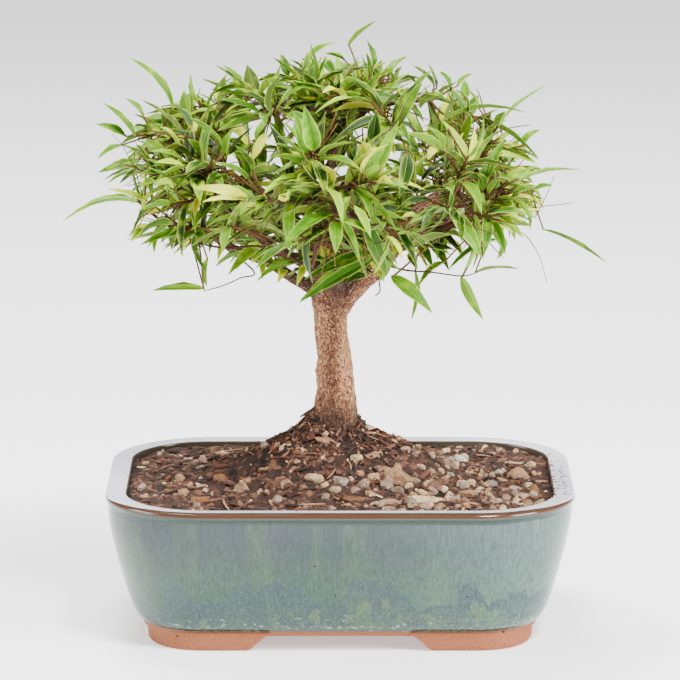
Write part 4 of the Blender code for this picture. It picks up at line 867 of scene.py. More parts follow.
TRUNK = (
    (TRUNK_X, TRUNK_Y, 30.0, 8.0), (TRUNK_X, TRUNK_Y, 84.0, 9.9), (TRUNK_X, TRUNK_Y, 93.5, 9.3),
    (-1.8, 8.0, 100.0, 8.4), (-2.3, 8.0, 108.0, 8.1), (-2.6, 8.0, 115.0, 7.7),
    (-3.5, 8.0, 122.0, 7.3), (-4.1, 8.0, 129.0, 7.2), (-4.4, 8.0, 136.0, 7.5),
    (-4.3, 8.0, 142.0, 8.0), (-4.0, 8.0, 147.0, 7.8), (-3.6, 8.0, 151.0, 5.8),
)
LIMBS = {
    "leader": (
        (-6.0, 8.0, 143.0, 5.6), (-9.4, 8.0, 152.0, 4.2), (-9.8, 9.0, 165.0, 3.4),
        (-8.0, 11.0, 182.0, 2.7), (-4.0, 12.0, 200.0, 2.1), (0.0, 10.0, 217.0, 1.5),
    ),
    "right": (
        (0.0, 8.0, 140.0, 6.0), (9.0, 7.5, 150.0, 5.6), (17.0, 7.0, 156.5, 5.0),
        (24.0, 6.5, 166.0, 4.3), (31.0, 6.0, 176.5, 3.9), (40.0, 6.5, 184.0, 3.4),
        (49.0, 8.0, 189.5, 2.9), (60.0, 9.0, 195.0, 1.9),
    ),
    "left": (
        (-6.0, 8.0, 139.0, 4.6), (-13.5, 7.0, 146.5, 3.1), (-21.0, 6.0, 151.0, 2.7),
        (-28.4, 5.0, 156.0, 2.4), (-38.0, 3.0, 160.5, 2.1), (-50.0, 0.0, 167.0, 1.7),
        (-61.0, -3.0, 176.0, 1.3),
    ),
    "front": (
        (-3.0, 4.0, 146.0, 4.8), (-1.0, -7.0, 156.0, 3.4), (3.0, -21.0, 167.0, 2.7),
        (5.0, -36.0, 178.0, 2.1), (3.0, -49.0, 189.0, 1.5),
    ),
    "back": (
        (-4.0, 12.0, 144.0, 4.8), (-5.0, 22.0, 155.0, 3.5), (-5.0, 36.0, 166.0, 2.8),
        (-3.0, 50.0, 179.0, 1.7),
    ),
    "back_right": (
        (14.0, 9.0, 154.0, 3.8), (24.0, 19.0, 162.0, 2.9), (36.0, 31.0, 172.0, 2.3),
        (48.0, 42.0, 184.0, 1.4),
    ),
    "front_right": (
        (24.0, 6.0, 166.0, 3.4), (34.0, -8.0, 173.0, 2.6), (45.0, -22.0, 181.0, 2.1),
        (54.0, -35.0, 190.0, 1.4),
    ),
    "back_left": (
        (-9.5, 9.0, 158.0, 3.2), (-21.0, 19.0, 166.0, 2.5), (-35.0, 30.0, 176.0, 1.9),
        (-48.0, 39.0, 187.0, 1.3),
    ),
    "front_left": (
        (-9.5, 7.0, 154.0, 3.2), (-20.0, -7.0, 162.0, 2.5), (-33.0, -22.0, 172.0, 1.9),
        (-45.0, -34.0, 184.0, 1.3),
    ),
}
CROWN_CENTRE = np.array((-3.0, 0.5, 194.0))
CROWN_ABOVE, CROWN_BELOW = np.array((88.0, 74.0, 47.0)), np.array((88.0, 74.0, 27.0))
SPRAYS = 50
GAP = 0.3
BOUGH_STEPS, SHOOT_STEPS = 3, 3
BOUGH_RADII, SHOOT_RADII = (1.5, 0.95), (1.0, 0.65)
LONGEST_SHOOT, SHOOT_LENGTH = 35.0, 21.0
BOUGH_SAG, SHOOT_STEM = 0.12, 0.4
LOW_ON_LIMB, CLIMB_WEIGHT = 25.0, 0.25
VOXEL = 0.55
# Where the stripe of painted shade runs down the trunk's front, its width and strength, and the
# middle of the painted shade in the fork
SHADE_STRIPE_X, SHADE_STRIPE_WIDTH, SHADE_STRIPE_SHARE = -3.0, 4.0, 0.74
FORK_SHADE = (1.0, 2.0, 147.0)
LIMB_ROOT_DROP, LIMB_ROOT_SHARE = 11.0, 0.85
FROM_TRUNK = ("leader", "right", "left", "front", "back")
UP = np.array((0.0, 0.0, 1.0))


def unit(vectors):
    """Each vector divided by its length."""
    return vectors / np.linalg.norm(vectors, axis=-1, keepdims=True)


def tube(route, sides, swell=0.0):
    """A round skin along a route of x, y, z and radius: circles square to the route, their first
    point carried from each to the next without a twist."""
    route = np.asarray(route, float)
    ahead = np.minimum(np.arange(len(route)) + 1, len(route) - 1)
    behind = np.maximum(np.arange(len(route)) - 1, 0)
    ways = unit(route[ahead, :3] - route[behind, :3])
    side = UP[[0, 2, 1]] if abs(ways[0, 1]) < 0.8 else UP[[2, 0, 1]]
    firsts = []
    for way in ways:
        side = unit(side - way * (side @ way))
        firsts.append(side)
    firsts = np.array(firsts)[:, None]
    others = np.cross(ways[:, None], firsts)
    angle = 2 * np.pi * np.arange(sides)[:, None] / sides
    out = firsts * np.cos(angle) + others * np.sin(angle)
    return closed_skin(route[:, None, :3] + out * (route[:, None, 3:] + swell))


def curve_between(start, middle, end, shares, radii):
    """A route on the curve from start to end that leans to the middle point, its radius going
    evenly from the first to the second."""
    t = np.asarray(shares)[:, None]
    points = start * (1 - t) ** 2 + middle * (2 * t * (1 - t)) + end * t**2
    return np.hstack([points, radii[0] + (radii[1] - radii[0]) * t])


class Occupied:
    """What already stands in the crown, so that no leaf or twig of one spray meets another's."""

    def __init__(self):
        self.owners, self.middles, self.radii, self.trees = [], [], [], []

    def ball(self, points):
        middle = (points.min(0) + points.max(0)) / 2
        return middle, np.linalg.norm(points - middle, axis=1).max()

    def add(self, owner, points, faces):
        middle, radius = self.ball(points)
        self.owners.append(owner)
        self.middles.append(middle)
        self.radii.append(radius)
        self.trees.append(BVHTree.FromPolygons(points.tolist(), faces))

    def meets(self, owner, points, faces):
        middle, radius = self.ball(points)
        apart = np.linalg.norm(np.array(self.middles) - middle, axis=1)
        tree = BVHTree.FromPolygons(points.tolist(), faces)
        near = np.nonzero(apart < radius + np.array(self.radii))[0]
        return any(self.owners[k] != owner and self.trees[k].overlap(tree) for k in near)


def crown_spread(points):
    """The half sizes of the crown's ellipsoid on the side where each point lies."""
    above = np.asarray(points)[..., 2:] > CROWN_CENTRE[2]
    return np.where(above, CROWN_ABOVE, CROWN_BELOW)


def crown_outward(points):
    """Straight out of the crown's ellipsoid at each point."""
    return unit((points - CROWN_CENTRE) / crown_spread(points) ** 2)


def crown_targets(count):
    """Points spread evenly over the crown by the golden angle, none underneath, nearest first."""
    k = np.arange(count)
    height = 1 - 1.62 * (k + 0.5) / count
    around = np.pi * (3 - np.sqrt(5)) * k
    flat = np.sqrt(1 - height**2)
    ball = np.stack([flat * np.cos(around), flat * np.sin(around), height], -1)
    offsets = ball * crown_spread(CROWN_CENTRE + ball)
    return CROWN_CENTRE + offsets[np.argsort(np.linalg.norm(offsets, axis=1), kind="stable")]


Shoot = namedtuple("Shoot", "name route")


def plan_wood():
    """The boughs that reach towards each target, one shoot for each, and the room they take. A
    shoot leaves the wood that is nearest, and starts further along until it clears the rest."""
    routes = {name: spline(route, 2) for name, route in LIMBS.items()}
    boughs, starts = {}, []
    for number, target in enumerate(crown_targets(SPRAYS)):
        places = [(name, k) for name, route in routes.items() for k in range(1, len(route))]
        points = np.array([routes[name][k] for name, k in places])
        low = np.array([k == 1 and name in LIMBS for name, k in places])
        score = np.linalg.norm(target - points[:, :3], axis=1) + LOW_ON_LIMB * low
        score += CLIMB_WEIGHT * np.maximum(0.0, points[:, 2] - target[2])
        name, k = places[score.argmin()]
        here, radius = routes[name][k][:3], routes[name][k][3]
        apart = target - here
        length = np.linalg.norm(apart)
        if length > LONGEST_SHOOT:
            end = here + apart * (1.0 - SHOOT_LENGTH / length)
            middle = (here + end) / 2 - UP * (BOUGH_SAG * np.linalg.norm(end - here))
            radii = min(BOUGH_RADII[0], 0.85 * radius), BOUGH_RADII[1]
            route = curve_between(here, middle, end, np.linspace(0, 1, BOUGH_STEPS + 1), radii)
            boughs[f"bough_{number:02d}"] = routes[f"bough_{number:02d}"] = route
            first_way = unit(route[-1, :3] - route[-2, :3])
            starts.append((route[-1, :3] + first_way * GAP, first_way, target))
        else:
            along = unit(routes[name][k][:3] - routes[name][k - 1][:3])
            first_way = unit(apart - along * (apart @ along))
            starts.append((here + first_way * (radius + GAP + 0.1), first_way, target))

    taken = Occupied()
    taken.add("wood", *tube(TRUNK, 12))
    for route in [*LIMBS.values(), *boughs.values()]:
        taken.add("wood", *tube(route, 5))
    shoots = []
    for start, first_way, target in starts:
        name = f"spray_{len(shoots) + 1:02d}"
        middle = start + first_way * (SHOOT_STEM * np.linalg.norm(target - start))
        for begun in np.arange(0.0, 0.8, 0.03):
            shares = begun + (1 - begun) * np.linspace(0, 1, SHOOT_STEPS + 1)
            route = curve_between(start, middle, target, shares, SHOOT_RADII)
            if not taken.meets(name, *tube(route, 4, GAP)):
                break
        taken.add(name, *tube(route, 4))
        shoots.append(Shoot(name, route))
    return boughs, shoots, taken


def thin_bark():
    """Young fig bark: thin, fibrous and matt, tan where it flakes and reddish brown beneath, with
    cream scars and stained by soil at the foot. Painted shade makes it near black in the crack of
    the fork, darker in a stripe down the front and on the limbs to the left, and painted light
    gives it a pale yellowish tint beside that stripe."""
    material, tree, place = new_material("thin_flaking_bark")
    along = add_node(tree, "Attribute", attribute_name="grain")["Vector"]
    fibre = {"Vector": along, "Scale": 1 / 0.75, "Detail": 3.0, "Roughness": 0.6}
    fibre = add_node(tree, "TexNoise", fibre)[0]
    flake = add_node(tree, "TexNoise", {"Vector": along, "Scale": 1 / 3.4, "Detail": 3.0})[0]
    spot = add_node(tree, "TexNoise", {"Vector": place, "Scale": 1000 / 0.7, "Detail": 2.0})[0]
    wide = add_node(tree, "MapRange", (flake, 0.36, 0.64))[0]
    # Cracks, a stripe of painted shade down the front, a pale tint of painted light beside it, and
    # darker limbs with painted shade in the fork and on the left
    ridge, shade_stripe, side_light_tint, old = (
        add_node(tree, "Attribute", attribute_name=name)["Fac"]
        for name in ("ridge", "shade_stripe", "side_light_tint", "old")
    )
    crack = add_node(tree, "MapRange", (ridge, 0.34, 0.1, 0, 0.5), **SOFT)[0]
    # Flakes about 0.8 mm across: cream where they stand off, dark brown between them
    both = add_node(tree, "Math", (fibre, spot), operation="ADD")[0]
    light = add_node(tree, "MapRange", (both, 1.06, 1.18, 0, 0.85), **SOFT)[0]
    dark = add_node(tree, "Math", (old, shade_stripe), operation="ADD")[0]
    bare = add_node(tree, "MapRange", (dark, 0, 1, 1.0, 0.2))[0]
    light = add_node(tree, "Math", (light, bare), operation="MULTIPLY")[0]
    deep = add_node(tree, "MapRange", (both, 0.96, 0.84, 0, 0.88), **SOFT)[0]
    # The soil's stain fades out from 88 to 102 mm up
    height = add_node(tree, "SeparateXYZ", (place,))["Z"]
    ragged = add_node(tree, "Math", (flake, 0.012, height), operation="MULTIPLY_ADD")[0]
    stain = add_node(tree, "MapRange", (ragged, 0.108, 0.094, 0, 0.8), **SOFT)[0]
    # The stripe is painted shade and the pale tint beside it painted light; old adds painted shade
    # in the fork and on the left limbs
    layers = [(wide, "#AC6E48"), (crack, "#4A2818"), (shade_stripe, "#4F3218"), (side_light_tint, "#B08A50"),
              (old, "#25160F"), (light, "#E8B98F"), (deep, "#2E1208"), (stain, "#2C180E")]
    return finished(material, "#7A3C24", layers, {"Roughness": 0.86}, both, 0.0005, 0.7)


def along_wood(points, routes):
    """For each point, the way of the nearest route and its place with the distance along that way
    drawn in to a third, so that a pattern on it comes out three times as long as wide."""
    joints = np.vstack([0.5 * (r[1:] + r[:-1]) for r in routes])
    ways = np.vstack([unit(r[1:, :3] - r[:-1, :3]) for r in routes])
    nearest = np.empty(len(points), int)
    for low in range(0, len(points), 4000):
        part = points[low : low + 4000]
        apart = np.linalg.norm(part[:, None] - joints[None, :, :3], axis=2) - joints[:, 3]
        nearest[low : low + 4000] = apart.argmin(1)
    way = ways[nearest]
    run = ((points - CROWN_CENTRE) * way).sum(1, keepdims=True)
    return points - 0.67 * way * run, joints[nearest, 3]


def build_wood(solids, routes):
    """One closed skin over all the tubes, remeshed in half-millimetre steps and smoothed, then
    raised and cut by long ridges that follow the wood."""
    points, faces = merged(solids)
    piece = add_piece("trunk_and_limbs", points, faces, thin_bark(), "bark", ["trunk"])
    change = piece.modifiers.new("skin", "REMESH")
    change.mode, change.voxel_size = "VOXEL", VOXEL * MM
    change = piece.modifiers.new("ease", "SMOOTH")
    change.factor, change.iterations = 0.5, 9
    made = settled(piece)
    count = len(made.vertices)
    spots, normals = np.empty(3 * count, np.float32), np.empty(3 * count, np.float32)
    made.vertices.foreach_get("co", spots)
    made.vertices.foreach_get("normal", normals)
    spots, normals = spots.reshape(-1, 3) / MM, normals.reshape(-1, 3)
    grain, thick = along_wood(spots, routes)
    ridge = 0.5 + 0.5 * (rough(grain, 1.8, 5) + 0.7 * rough(grain, 0.9, 6))
    lumps = rough(spots, 6.5, 7) + 0.5 * rough(spots, 2.6, 8)
    depth = np.clip(thick / 8.0, 0.12, 1.0)
    moved = (0.8 * (ridge - 0.5) + 0.45 * lumps - 0.1) * depth
    spots = spots + normals * moved[:, None]
    made.vertices.foreach_set("co", (spots * MM).astype(np.float32).ravel())
    flare = np.clip((spots[:, 2] - 134) / 10, 0, 1) * np.clip((thick - 2.2) / 3, 0, 1)
    left = np.clip((-spots[:, 0] - 6) / 8, 0, 1) * np.clip((spots[:, 2] - 130) / 10, 0, 1)
    patchy = np.clip(0.5 + 0.9 * rough(spots, 6.0, 9), 0, 1)
    # A stripe of painted shade winds down the front of the trunk, with a patchy pale yellowish
    # tint of painted light on both sides
    facing = np.clip((8 - spots[:, 1]) / 3, 0, 1)
    wind = 1.4 * rough(spots, 16.0, 10)
    shade_stripe = facing * np.exp(-(((spots[:, 0] - SHADE_STRIPE_X + wind) / SHADE_STRIPE_WIDTH) ** 2))
    side_light_tint = np.clip(0.15 + 0.7 * rough(spots, 9.0, 11), 0, 0.45) * (1 - shade_stripe)
    side_light_tint *= np.clip((150 - spots[:, 2]) / 15, 0, 1)
    limb = np.clip((5.2 - thick) / 2.2, 0, 1)
    # Painted shade in the fork's crease and on the limbs to the left, added to darker thin limbs
    crack = np.exp(-(np.linalg.norm((spots - FORK_SHADE) / (7, 9, 7), axis=1) ** 2))
    old = np.clip(0.5 * flare * patchy + 0.6 * left + 0.8 * crack + 0.85 * limb, 0, 0.88)
    set_fields(made, {"grain": grain, "ridge": np.clip(ridge, 0, 1), "old": old,
                      "shade_stripe": SHADE_STRIPE_SHARE * shade_stripe, "side_light_tint": side_light_tint})
    made.shade_smooth()
    return piece


boughs, shoots, taken = plan_wood()
# Each limb that leaves the trunk begins lower down inside it, so that the two flow together
rooted = [[(-4.0, 8.0, limb[0][2] - LIMB_ROOT_DROP, LIMB_ROOT_SHARE * limb[0][3]), *limb]
          if name in FROM_TRUNK else limb for name, limb in LIMBS.items()]
wood_routes = [spline(route, 4) for route in [TRUNK, *rooted, *boughs.values()]]
wood_solids = [tube(route, 24 if k == 0 else 14) for k, route in enumerate(wood_routes)]
build_wood(wood_solids, wood_routes)

# Leafy sprays
# Fifty shoots grow from the limbs, each with side twigs. A leaf is 15 to 35 mm long and 4 to
# 8 mm wide, folded along a pale midrib and arched; leaves further out of the crown are brighter,
# partly new ones and partly painted light, and those inside darker with painted shade.

Seen = namedtuple("Seen", "base tip width arch depth lean roll")
# Leaves that stand out in the photograph: where their stalk and tip show, in its pixels, then
# the width in millimetres, the arch as a share of the length, how deep the stalk lies from the
# crown's back (-1) to its front (1), how far the tip comes forward in millimetres, and the roll
LEAVES_SEEN = [Seen(*row) for row in (
    ((140, 203), (62, 222), 6.5, 0.14, 0.0, 4, 10),
    ((173, 110), (128, 57), 5.5, 0.12, 0.0, 0, 20),
    ((135, 136), (102, 102), 5.0, 0.05, 0.1, 3, -20),
    ((126, 137), (95, 124), 4.8, 0.08, -0.1, 2, 30),
    ((187, 142), (140, 99), 6.5, 0.08, 0.45, 6, 0),
    ((189, 117), (184, 90), 5.5, 0.05, 0.5, 4, 40),
    ((190, 127), (193, 173), 5.5, 0.06, 0.7, 6, 10),
    ((140, 160), (97, 173), 4.5, 0.05, 0.1, 0, 50),
    ((150, 165), (102, 181), 5.0, 0.08, 0.4, 5, -10),
    ((170, 190), (130, 238), 7.5, 0.10, 0.5, 5, 0),
    ((192, 211), (146, 250), 6.0, 0.10, 0.3, 3, 20),
    ((205, 289), (151, 291), 4.5, 0.09, 0.2, 0, 10),
    ((246, 252), (215, 267), 5.5, 0.08, 0.7, 6, 0),
    ((267, 113), (214, 64), 5.8, 0.06, 0.35, 2, 15),
    ((264, 117), (215, 123), 6.0, 0.06, 0.6, 6, 0),
    ((324, 98), (275, 112), 6.0, 0.30, 0.55, 6, 0),
    ((300, 81), (272, 57), 5.0, 0.04, 0.1, 0, 0),
    ((316, 79), (310, 42), 5.6, 0.04, 0.0, 2, 30),
    ((304, 69), (336, 42), 4.6, 0.15, -0.1, 0, -20),
    ((310, 87), (373, 67), 6.0, 0.08, 0.3, 3, 0),
    ((348, 46), (377, 20), 4.4, 0.05, -0.6, 0, 30),
    ((373, 67), (367, 40), 4.8, 0.06, 0.0, 0, 40),
    ((381, 108), (346, 76), 6.6, 0.05, 0.55, 4, 25),
    ((394, 129), (423, 82), 6.5, 0.08, 0.5, 4, -10),
    ((314, 150), (304, 105), 7.7, 0.05, 0.95, 8, 0),
    ((303, 158), (277, 136), 6.2, 0.08, 0.95, 8, 10),
    ((312, 160), (326, 198), 5.8, 0.08, 0.95, 8, 0),
    ((320, 160), (361, 170), 5.6, 0.10, 0.9, 8, 0),
    ((248, 179), (214, 162), 5.6, 0.06, 0.9, 7, 0),
    ((253, 171), (235, 145), 5.6, 0.05, 0.85, 5, 10),
    ((372, 142), (377, 109), 6.2, 0.05, 0.75, 5, 0),
    ((408, 153), (399, 199), 6.0, 0.08, 0.85, 5, 0),
    ((448, 128), (443, 173), 5.2, 0.06, 0.7, 5, 20),
    ((440, 123), (528, 113), 5.4, 0.13, 0.3, 2, 20),
    ((470, 116), (540, 160), 5.2, 0.08, 0.2, 0, 15),
    ((477, 160), (499, 130), 5.6, 0.06, 0.5, 3, 0),
    ((448, 173), (516, 168), 6.0, 0.14, 0.55, 4, 10),
    ((505, 192), (582, 170), 5.6, 0.12, 0.1, 0, 5),
    ((498, 125), (547, 85), 4.2, 0.06, -0.5, -4, 20),
    ((542, 229), (609, 265), 3.6, 0.06, -0.3, 0, 30),
    ((496, 169), (494, 199), 5.0, 0.06, 0.5, 4, 0),
    ((473, 179), (482, 242), 5.0, 0.08, 0.6, 4, 25),
    ((499, 239), (447, 271), 5.8, 0.08, 0.2, 2, 10),
    ((462, 228), (410, 247), 5.8, 0.08, 0.5, 5, 10),
    ((385, 218), (418, 270), 6.6, 0.05, 0.8, 6, 0),
    ((391, 277), (433, 314), 6.8, 0.05, 0.35, 4, 0),
    ((415, 270), (411, 321), 4.6, 0.05, -0.2, 0, 20),
    ((461, 277), (484, 321), 6.0, 0.04, 0.1, 2, 0),
    ((474, 273), (520, 269), 5.0, 0.08, 0.1, 0, 10),
    ((370, 251), (304, 280), 7.0, 0.06, 0.6, 6, 5),
    ((373, 260), (298, 303), 6.8, 0.06, 0.5, 6, 15),
    ((342, 226), (303, 246), 6.0, 0.08, 0.85, 6, 0),
)]
# More of them, thinner or further back, that only this finer crown has
LEAVES_SEEN_TOO = [Seen(*row) for row in (
    ((435, 87), (411, 64), 4.6, 0.08, 0.2, 0, 15),
    ((437, 89), (428, 63), 2.6, 0.05, 0.1, 0, 20),
    ((451, 91), (439, 71), 6.0, 0.10, 0.3, 2, 20),
    ((457, 87), (473, 73), 5.0, 0.08, 0.2, 0, 10),
    ((467, 112), (455, 89), 5.5, 0.20, 0.4, 3, 10),
    ((478, 108), (469, 90), 4.6, 0.08, 0.2, 0, 15),
    ((392, 83), (389, 69), 5.0, 0.08, 0.1, 0, 0),
    ((396, 80), (402, 66), 4.2, 0.06, 0.0, 0, 0),
    ((416, 84), (408, 74), 3.6, 0.05, 0.1, 0, 0),
    ((483, 109), (476, 87), 1.8, 0.05, 0.1, 0, 0),
    ((420, 108), (444, 92), 5.6, 0.10, 0.5, 3, 20),
    ((446, 118), (460, 98), 5.2, 0.10, 0.4, 2, -10),
    ((144, 117), (125, 98), 4.6, 0.06, 0.1, 2, 10),
    ((122, 145), (97, 159), 4.4, 0.06, 0.0, 0, 20),
    ((147, 168), (119, 184), 5.0, 0.06, 0.2, 2, 0),
    ((190, 195), (161, 211), 6.0, 0.08, 0.7, 4, 0),
    ((225, 168), (170, 200), 5.2, 0.22, 0.75, 5, 10),
    ((208, 258), (207, 288), 4.8, 0.06, 0.3, 2, 20),
    ((262, 115), (218, 99), 5.8, 0.08, 0.4, 2, 10),
    ((345, 60), (325, 53), 4.6, 0.06, 0.0, 0, 0),
    ((381, 112), (405, 88), 5.4, 0.06, 0.5, 3, 0),
    ((303, 160), (316, 182), 5.0, 0.06, 0.95, 7, 0),
    ((318, 156), (355, 142), 5.2, 0.08, 0.9, 6, 10),
    ((250, 174), (282, 170), 5.0, 0.10, 0.85, 4, 70),
    ((226, 155), (233, 128), 5.4, 0.06, 0.8, 4, 0),
    ((224, 153), (188, 117), 5.8, 0.08, 0.7, 3, 10),
    ((417, 145), (386, 132), 5.4, 0.08, 0.8, 4, 0),
    ((465, 181), (474, 219), 5.0, 0.08, 0.6, 3, 30),
    ((502, 235), (497, 260), 5.0, 0.06, 0.2, 2, 20),
    ((353, 237), (390, 263), 5.0, 0.08, 0.7, 4, 10),
    ((270, 222), (226, 243), 4.4, 0.08, 0.75, 4, 20),
    ((350, 270), (370, 277), 4.4, 0.06, 0.6, 3, 10),
    ((445, 262), (418, 287), 5.2, 0.08, 0.3, 2, 10),
    ((330, 205), (300, 222), 5.4, 0.08, 0.9, 5, 10),
    ((355, 190), (372, 222), 5.6, 0.08, 0.85, 5, 0),
    ((430, 200), (396, 212), 5.4, 0.10, 0.7, 5, 10),
    ((290, 205), (258, 228), 5.6, 0.08, 0.85, 6, 0),
    ((240, 205), (205, 224), 5.6, 0.10, 0.75, 5, 0),
    ((232, 230), (196, 252), 5.4, 0.08, 0.6, 5, 10),
    ((286, 245), (252, 262), 5.2, 0.08, 0.7, 5, 0),
    ((330, 262), (282, 268), 5.4, 0.10, 0.55, 5, 10),
    ((410, 100), (432, 70), 5.2, 0.06, 0.3, 2, 10),
)]
# Those in front of the fork or hanging out of the crown, whose depth is in millimetres forward
# of the pot's middle
LEAVES_IN_FRONT = [Seen(*row) for row in (
    ((371, 252), (304, 280), 6.2, 0.08, 32.0, 5, 55),
    ((374, 259), (299, 303), 6.0, 0.06, 30.0, 8, 50),
    ((355, 236), (392, 264), 6.6, 0.08, 36.0, 4, -40),
    ((409, 250), (455, 234), 7.0, 0.08, 24.0, 4, 40),
    ((342, 226), (303, 246), 7.0, 0.06, 40.0, 6, 50),
    ((367, 275), (345, 283), 4.6, 0.10, 24.0, 3, 30),
    ((388, 258), (378, 283), 4.8, 0.08, 20.0, 3, 40),
    ((391, 276), (433, 314), 7.8, 0.06, 22.0, 4, -48),
    ((461, 276), (484, 321), 5.4, 0.04, 10.0, 3, -55),
    ((205, 289), (151, 291), 3.2, 0.09, 12.0, 2, 50),
)]
Leaf = namedtuple("Leaf", "base bend tip side width root")
LEAVES_PER_SPRAY = 5
STALK_RADIUS, STALK_HALF_WIDTH, SUNK = 0.55, 0.5, 0.35
LEAF_LENGTHS, LEAF_WIDTH_SHARE = (17.0, 30.0), 0.215
NARROWEST, WIDEST = 4.3, 7.2
RIB_THICKNESS = 1.0
FOLD = math.radians(22)
GOLDEN_TURN = math.radians(137.5)
CLEARANCE, TRIES, LONGEST_STALK = 0.9, 14, 30.0
LEAF_SPACING = 0.17
STALK_SHARES = (0.2, 0.42, 0.6, 0.75, 0.88)
STATIONS, STALK_TURN = (0.24, 0.62), 0.45


def leaf_between(base, tip, width, arch, roll):
    """A leaf that arches upwards between two points; roll turns its face about that line. Its
    root is where its stalk leaves the shoot, or None where the blade starts right there."""
    chord = tip - base
    along = unit(chord)
    up = crown_outward(base) if abs(along[2]) > 0.85 else UP
    side = unit(np.cross(along, up))
    side = side * math.cos(math.radians(roll)) + np.cross(side, along) * math.sin(
        math.radians(roll)
    )
    rise = np.cross(side, along)
    bend = base + chord * 0.45 + rise * (2 * arch * np.linalg.norm(chord))
    return Leaf(base, bend, tip, side, width, None)


def along_leaf(leaf, t):
    """The midrib's point, its direction and the way its face looks, at share t."""
    p = leaf.base * (1 - t) ** 2 + leaf.bend * (2 * t * (1 - t)) + leaf.tip * t**2
    way = (leaf.bend - leaf.base) * (1 - t) + (leaf.tip - leaf.bend) * t
    return p, unit(way), unit(np.cross(leaf.side, way))


def blade_width(t):
    """Half width as a share of the widest: full near the stalk, drawn out to the tip."""
    return t**0.75 * (1 - t) ** 1.15 / 0.2795


def plain_blade(leaf, extra=0.0):
    """The blade in its plainest form, a folded four-sided lance, swollen by extra: it is what
    the solid model has, and what is tested for room among the other leaves."""
    first = unit(leaf.base - leaf.root) if leaf.root is not None else along_leaf(leaf, 0.0)[1]
    points = [(leaf.base if leaf.root is None else leaf.root) - first * SUNK]
    for t in STATIONS if leaf.root is None else (0.0, *STATIONS):
        p, _, face = along_leaf(leaf, t)
        half = max(leaf.width / 2 * blade_width(t), STALK_HALF_WIDTH) + extra / 2
        across, edge = leaf.side * (half * math.cos(FOLD)), p + face * (half * math.sin(FOLD))
        points += [edge - across, p + face * (extra / 2), edge + across,
                   p - face * (RIB_THICKNESS + extra / 2)]
    points.append(leaf.tip)
    last = len(points) - 5
    faces = [(0, 1 + (i + 1) % 4, 1 + i) for i in range(4)]
    for low in range(1, last, 4):
        for i in range(4):
            a, b, c, d = low + i, low + (i + 1) % 4, low + 4 + (i + 1) % 4, low + 4 + i
            faces += [(a, b, c), (a, c, d)] if i in (0, 3) else [(a, b, d), (b, c, d)]
    faces += [(last + i, last + (i + 1) % 4, last + 4) for i in range(4)]
    return np.array(points), faces


def plain_solids(leaf, extra=0.0):
    """A leaf's blade, with its stalk drawn out of it, or as a twig where the stalk turns back."""
    if leaf.root is None:
        return [plain_blade(leaf, extra)]
    run = unit(leaf.base - leaf.root)
    if run @ along_leaf(leaf, 0.0)[1] > STALK_TURN:
        return [plain_blade(leaf, extra)]
    radius = STALK_RADIUS + extra / 2
    stalk = [[*leaf.root, radius], [*(leaf.base + run * 0.5), radius]]
    return [tube(stalk, 4), plain_blade(leaf._replace(root=None), extra)]


def point_on_shoot(route, share):
    """The shoot's middle line and direction at a share of its length."""
    at = share * (len(route) - 1)
    low = min(int(at), len(route) - 2)
    span = route[low + 1] - route[low]
    return (route[low] + span * (at - low))[:3], unit(span[:3])


def nearest_shoot(point, nudge):
    """How far off the closest shoot is, which one, and the place on it that a stalk leaves."""
    spots = [(shoot, point_on_shoot(shoot.route, share + nudge)[0])
             for shoot in shoots for share in STALK_SHARES]
    apart = [np.linalg.norm(place - point) for _, place in spots]
    nearest = int(np.argmin(apart))
    return apart[nearest], *spots[nearest]


def seen_leaf(seen):
    """The leaf in space, its stalk at its share of the crown's depth behind that pixel."""
    offset = seen_at_depth(seen.base, 0.0) - CROWN_CENTRE
    spread = CROWN_ABOVE if offset[2] > 0 else CROWN_BELOW
    inside = 1 - (offset[0] / spread[0]) ** 2 - (offset[2] / (spread[2] + 8.0)) ** 2
    front = CROWN_ABOVE[1] * math.sqrt(max(inside, 0.05))
    base = seen_at_depth(seen.base, -front * seen.depth)
    tip = seen_at_depth(seen.tip, base[1] - seen.lean)
    return leaf_between(base, tip, seen.width, seen.arch, seen.roll)


def has_room(leaf, shoot):
    """True if the leaf, swollen by the clearance, meets nothing of another spray."""
    return not any(taken.meets(shoot.name, *solid) for solid in plain_solids(leaf, CLEARANCE))


def crosses(leaf, others):
    """True if the blade, away from its stalk, would cut another leaf of the same spray."""
    skin = plain_blade(leaf._replace(base=leaf.base + 0.3 * (leaf.bend - leaf.base)))
    skin = BVHTree.FromPolygons(skin[0].tolist(), skin[1])
    solids = [solid for other in others for solid in plain_solids(other)]
    return any(BVHTree.FromPolygons(p.tolist(), f).overlap(skin) for p, f in solids)


def grown_leaf(shoot, k, attempt, draw):
    """The k-th leaf up a shoot: each a golden turn on from the last, the end one straight on."""
    base, axis = point_on_shoot(shoot.route, 0.98 - LEAF_SPACING * k)
    axis = unit(axis + crown_outward(base) * 0.5)
    side = unit(np.array(Vector(axis).orthogonal()))
    angle = GOLDEN_TURN * k + draw.uniform(0, 2 * math.pi if attempt else 1.5)
    open_angle = math.radians(draw.uniform(12, 30) if k == 0 else draw.uniform(38, 72))
    away = side * math.cos(angle) + np.cross(axis, side) * math.sin(angle)
    way = axis * math.cos(open_angle) + away * math.sin(open_angle)
    way = unit(way + UP * draw.uniform(-0.25, 0.12))
    length = draw.uniform(*LEAF_LENGTHS) * (1.0 - 0.02 * attempt)
    width = length * LEAF_WIDTH_SHARE * draw.uniform(0.85, 1.15)
    arch = draw.uniform(0.03, 0.14)
    width = min(max(width, NARROWEST), WIDEST)
    return leaf_between(base, base + way * length, width, arch, draw.uniform(-35, 35))


